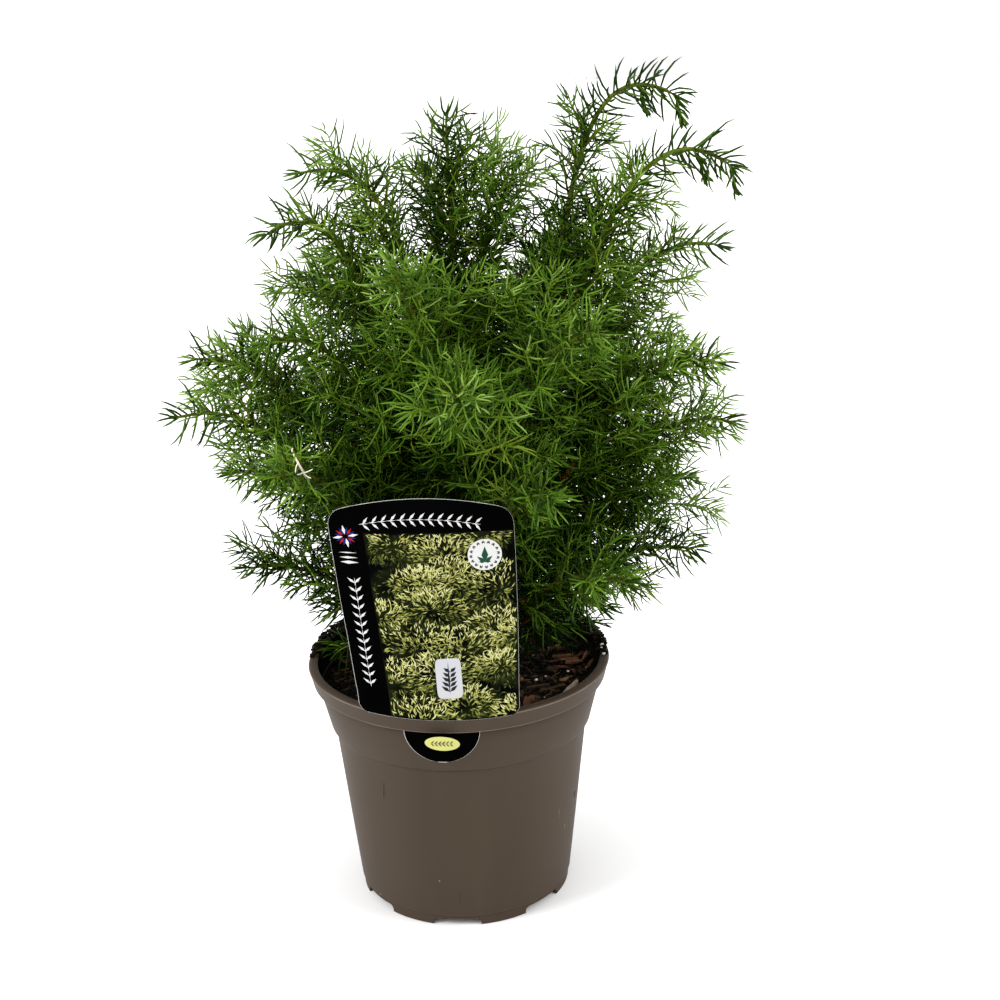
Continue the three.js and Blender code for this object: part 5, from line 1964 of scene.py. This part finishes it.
    def greens(self, shoot: Shoot, t: Array, tips: Array, light_shift: float) -> Array:
        """Deals a spray its greens: deep inside the crown and lighter outside and higher up, as painted shade
        and light, and fresher at its tip.

        Args:
            shoot: the spray's shoot.
            t: where each needle stands along it.
            tips: the needles' tips.
            light_shift: how many steps its bough's greens are lightened as painted light, less than 0 for
                painted shade.

        Returns:
            The green of each needle, by number.
        """
        k = np.arange(len(t))
        if shoot.order in (Order.STEM, Order.TASSEL):
            return np.where(chance(shoot.seed, k, 15) < 0.5 - 0.4 * light_shift, Green.DEEP, Green.FULL)
        draw = float(chance(shoot.seed, 1, 12))
        if draw > self.yellow_from:
            return np.full(len(t), Green.YELLOW)
        # painted shade and light: needles further inside the crown and lower are dealt darker greens, those
        # outside and higher lighter ones
        across, depth = self.half_size
        outside = np.hypot(tips[:, 0] / across, tips[:, 1] / depth)
        outside += np.maximum(0.0, (tips[:, 2] - 200) / 300) * 0.8
        fresh = (t > 0.75) * 0.6 + 0.45 * swing(shoot.seed, k, 14)
        return np.clip(outside * 2.7 + 2.1 * draw - 1.6 + fresh + light_shift, Green.SHADED, 4.3).astype(int)


def limb_piece(bough: Bough, stem: Shoot) -> Piece:
    """Models the bare part of a bough as a tapered round curve, with bark.

    Args:
        bough: the bough.
        stem: its stem, of which the limb is the first part.

    Returns:
        The limb.
    """
    a, b, c, d = stem.points
    s = bough.limb
    ab, bc, cd = a + (b - a) * s, b + (c - b) * s, c + (d - c) * s
    abc, bcd = ab + (bc - ab) * s, bc + (cd - bc) * s
    cut = abc + (bcd - abc) * s
    sunk = a - unit(b - a) * 2.5
    pick()
    bpy.ops.curve.primitive_bezier_curve_add()
    curve = bpy.context.object.data
    curve.resolution_u, curve.bevel_resolution, curve.use_fill_caps = 64, 3, True
    curve.bevel_depth = MM
    first, last = curve.splines[0].bezier_points
    for point in (first, last):
        point.handle_left_type = point.handle_right_type = "FREE"
    first.co, first.handle_right, first.handle_left = sunk * MM, ab * MM, sunk * MM
    last.co, last.handle_left, last.handle_right = cut * MM, abc * MM, cut * MM
    first.radius, last.radius = float(stem.radius(0.0)), float(stem.radius(s))
    bpy.ops.object.convert(target="MESH")
    piece = named(f"limb_{bough.name}")
    tidy_surface(piece, 60)
    roughen(piece, 0.3, 0.9)
    return piece


# ---- the studio

@dataclass(frozen=True)
class Lamp:
    """A soft light, far off, that shines from a direction on the crown."""

    name: str
    place: Triple
    power: float
    softness: float

    def build(self) -> None:
        """Adds the light."""
        bpy.ops.object.light_add(type="SUN", location=self.place)
        light = bpy.context.object
        light.name = self.name
        light.data.energy, light.data.angle = self.power, math.radians(self.softness)
        towards = Vector((0, 0, 0.3)) - Vector(self.place)
        light.rotation_euler = towards.to_track_quat("-Z", "Y").to_euler()


@dataclass(frozen=True)
class Studio:
    """A pale floor, a white room, soft lights and the camera."""

    camera_place: Triple = (0.0, -0.90485, 0.53559)
    right: Triple = (0.99888435, -0.03961816, -0.0256993)
    up: Triple = (0.03623082, 0.29389869, 0.95514967)
    forward: Triple = (0.03028828, 0.95501516, -0.2950062)
    lens: float = 55.27
    floor_size: float = 30.0
    room: float = 1.0
    lamps: tuple[Lamp, ...] = (
        Lamp("left_light", (-2.0, -0.8, 1.8), 2.3, 26),
        Lamp("right_light", (1.9, -0.6, 1.7), 1.4, 30),
        Lamp("top_light", (0.2, 0.3, 2.6), 0.8, 40),
    )

    def build(self) -> None:
        """Sets the stage."""
        pick()
        bpy.ops.mesh.primitive_plane_add(size=self.floor_size)
        floor = named("floor")
        floor.data.materials.append(Finish("pale_floor", (0.88,) * 3, (0.9,) * 3, 0.9, mottle=2.0).material())
        for lamp in self.lamps:
            lamp.build()
        scene = bpy.context.scene
        world = bpy.data.worlds.new("white_room")
        world.use_nodes = True
        world.node_tree.nodes["Background"].inputs["Color"].default_value = (1, 1, 1, 1)
        world.node_tree.nodes["Background"].inputs["Strength"].default_value = self.room
        scene.world = world
        scene.view_settings.view_transform = "Standard"
        bpy.ops.object.camera_add()
        camera = bpy.context.object
        camera.data.lens, camera.data.sensor_width = self.lens, 36.0
        camera.data.clip_start, camera.data.clip_end = 0.01, 100.0
        turn = Matrix((self.right, self.up, tuple(-part for part in self.forward))).transposed().to_4x4()
        camera.matrix_world = Matrix.Translation(self.camera_place) @ turn
        scene.camera = camera


LABEL = PlantLabel()


def main() -> None:
    """Builds the studio, the pot, what fills it, its label, the trunk and the crown."""
    logging.basicConfig(level=logging.INFO, format="%(name)s: %(message)s")
    for part in (Studio(), NurseryPot(), Compost(), LABEL, TRUNK, Crown()):
        part.build()


if __name__ == "__main__":
    main()
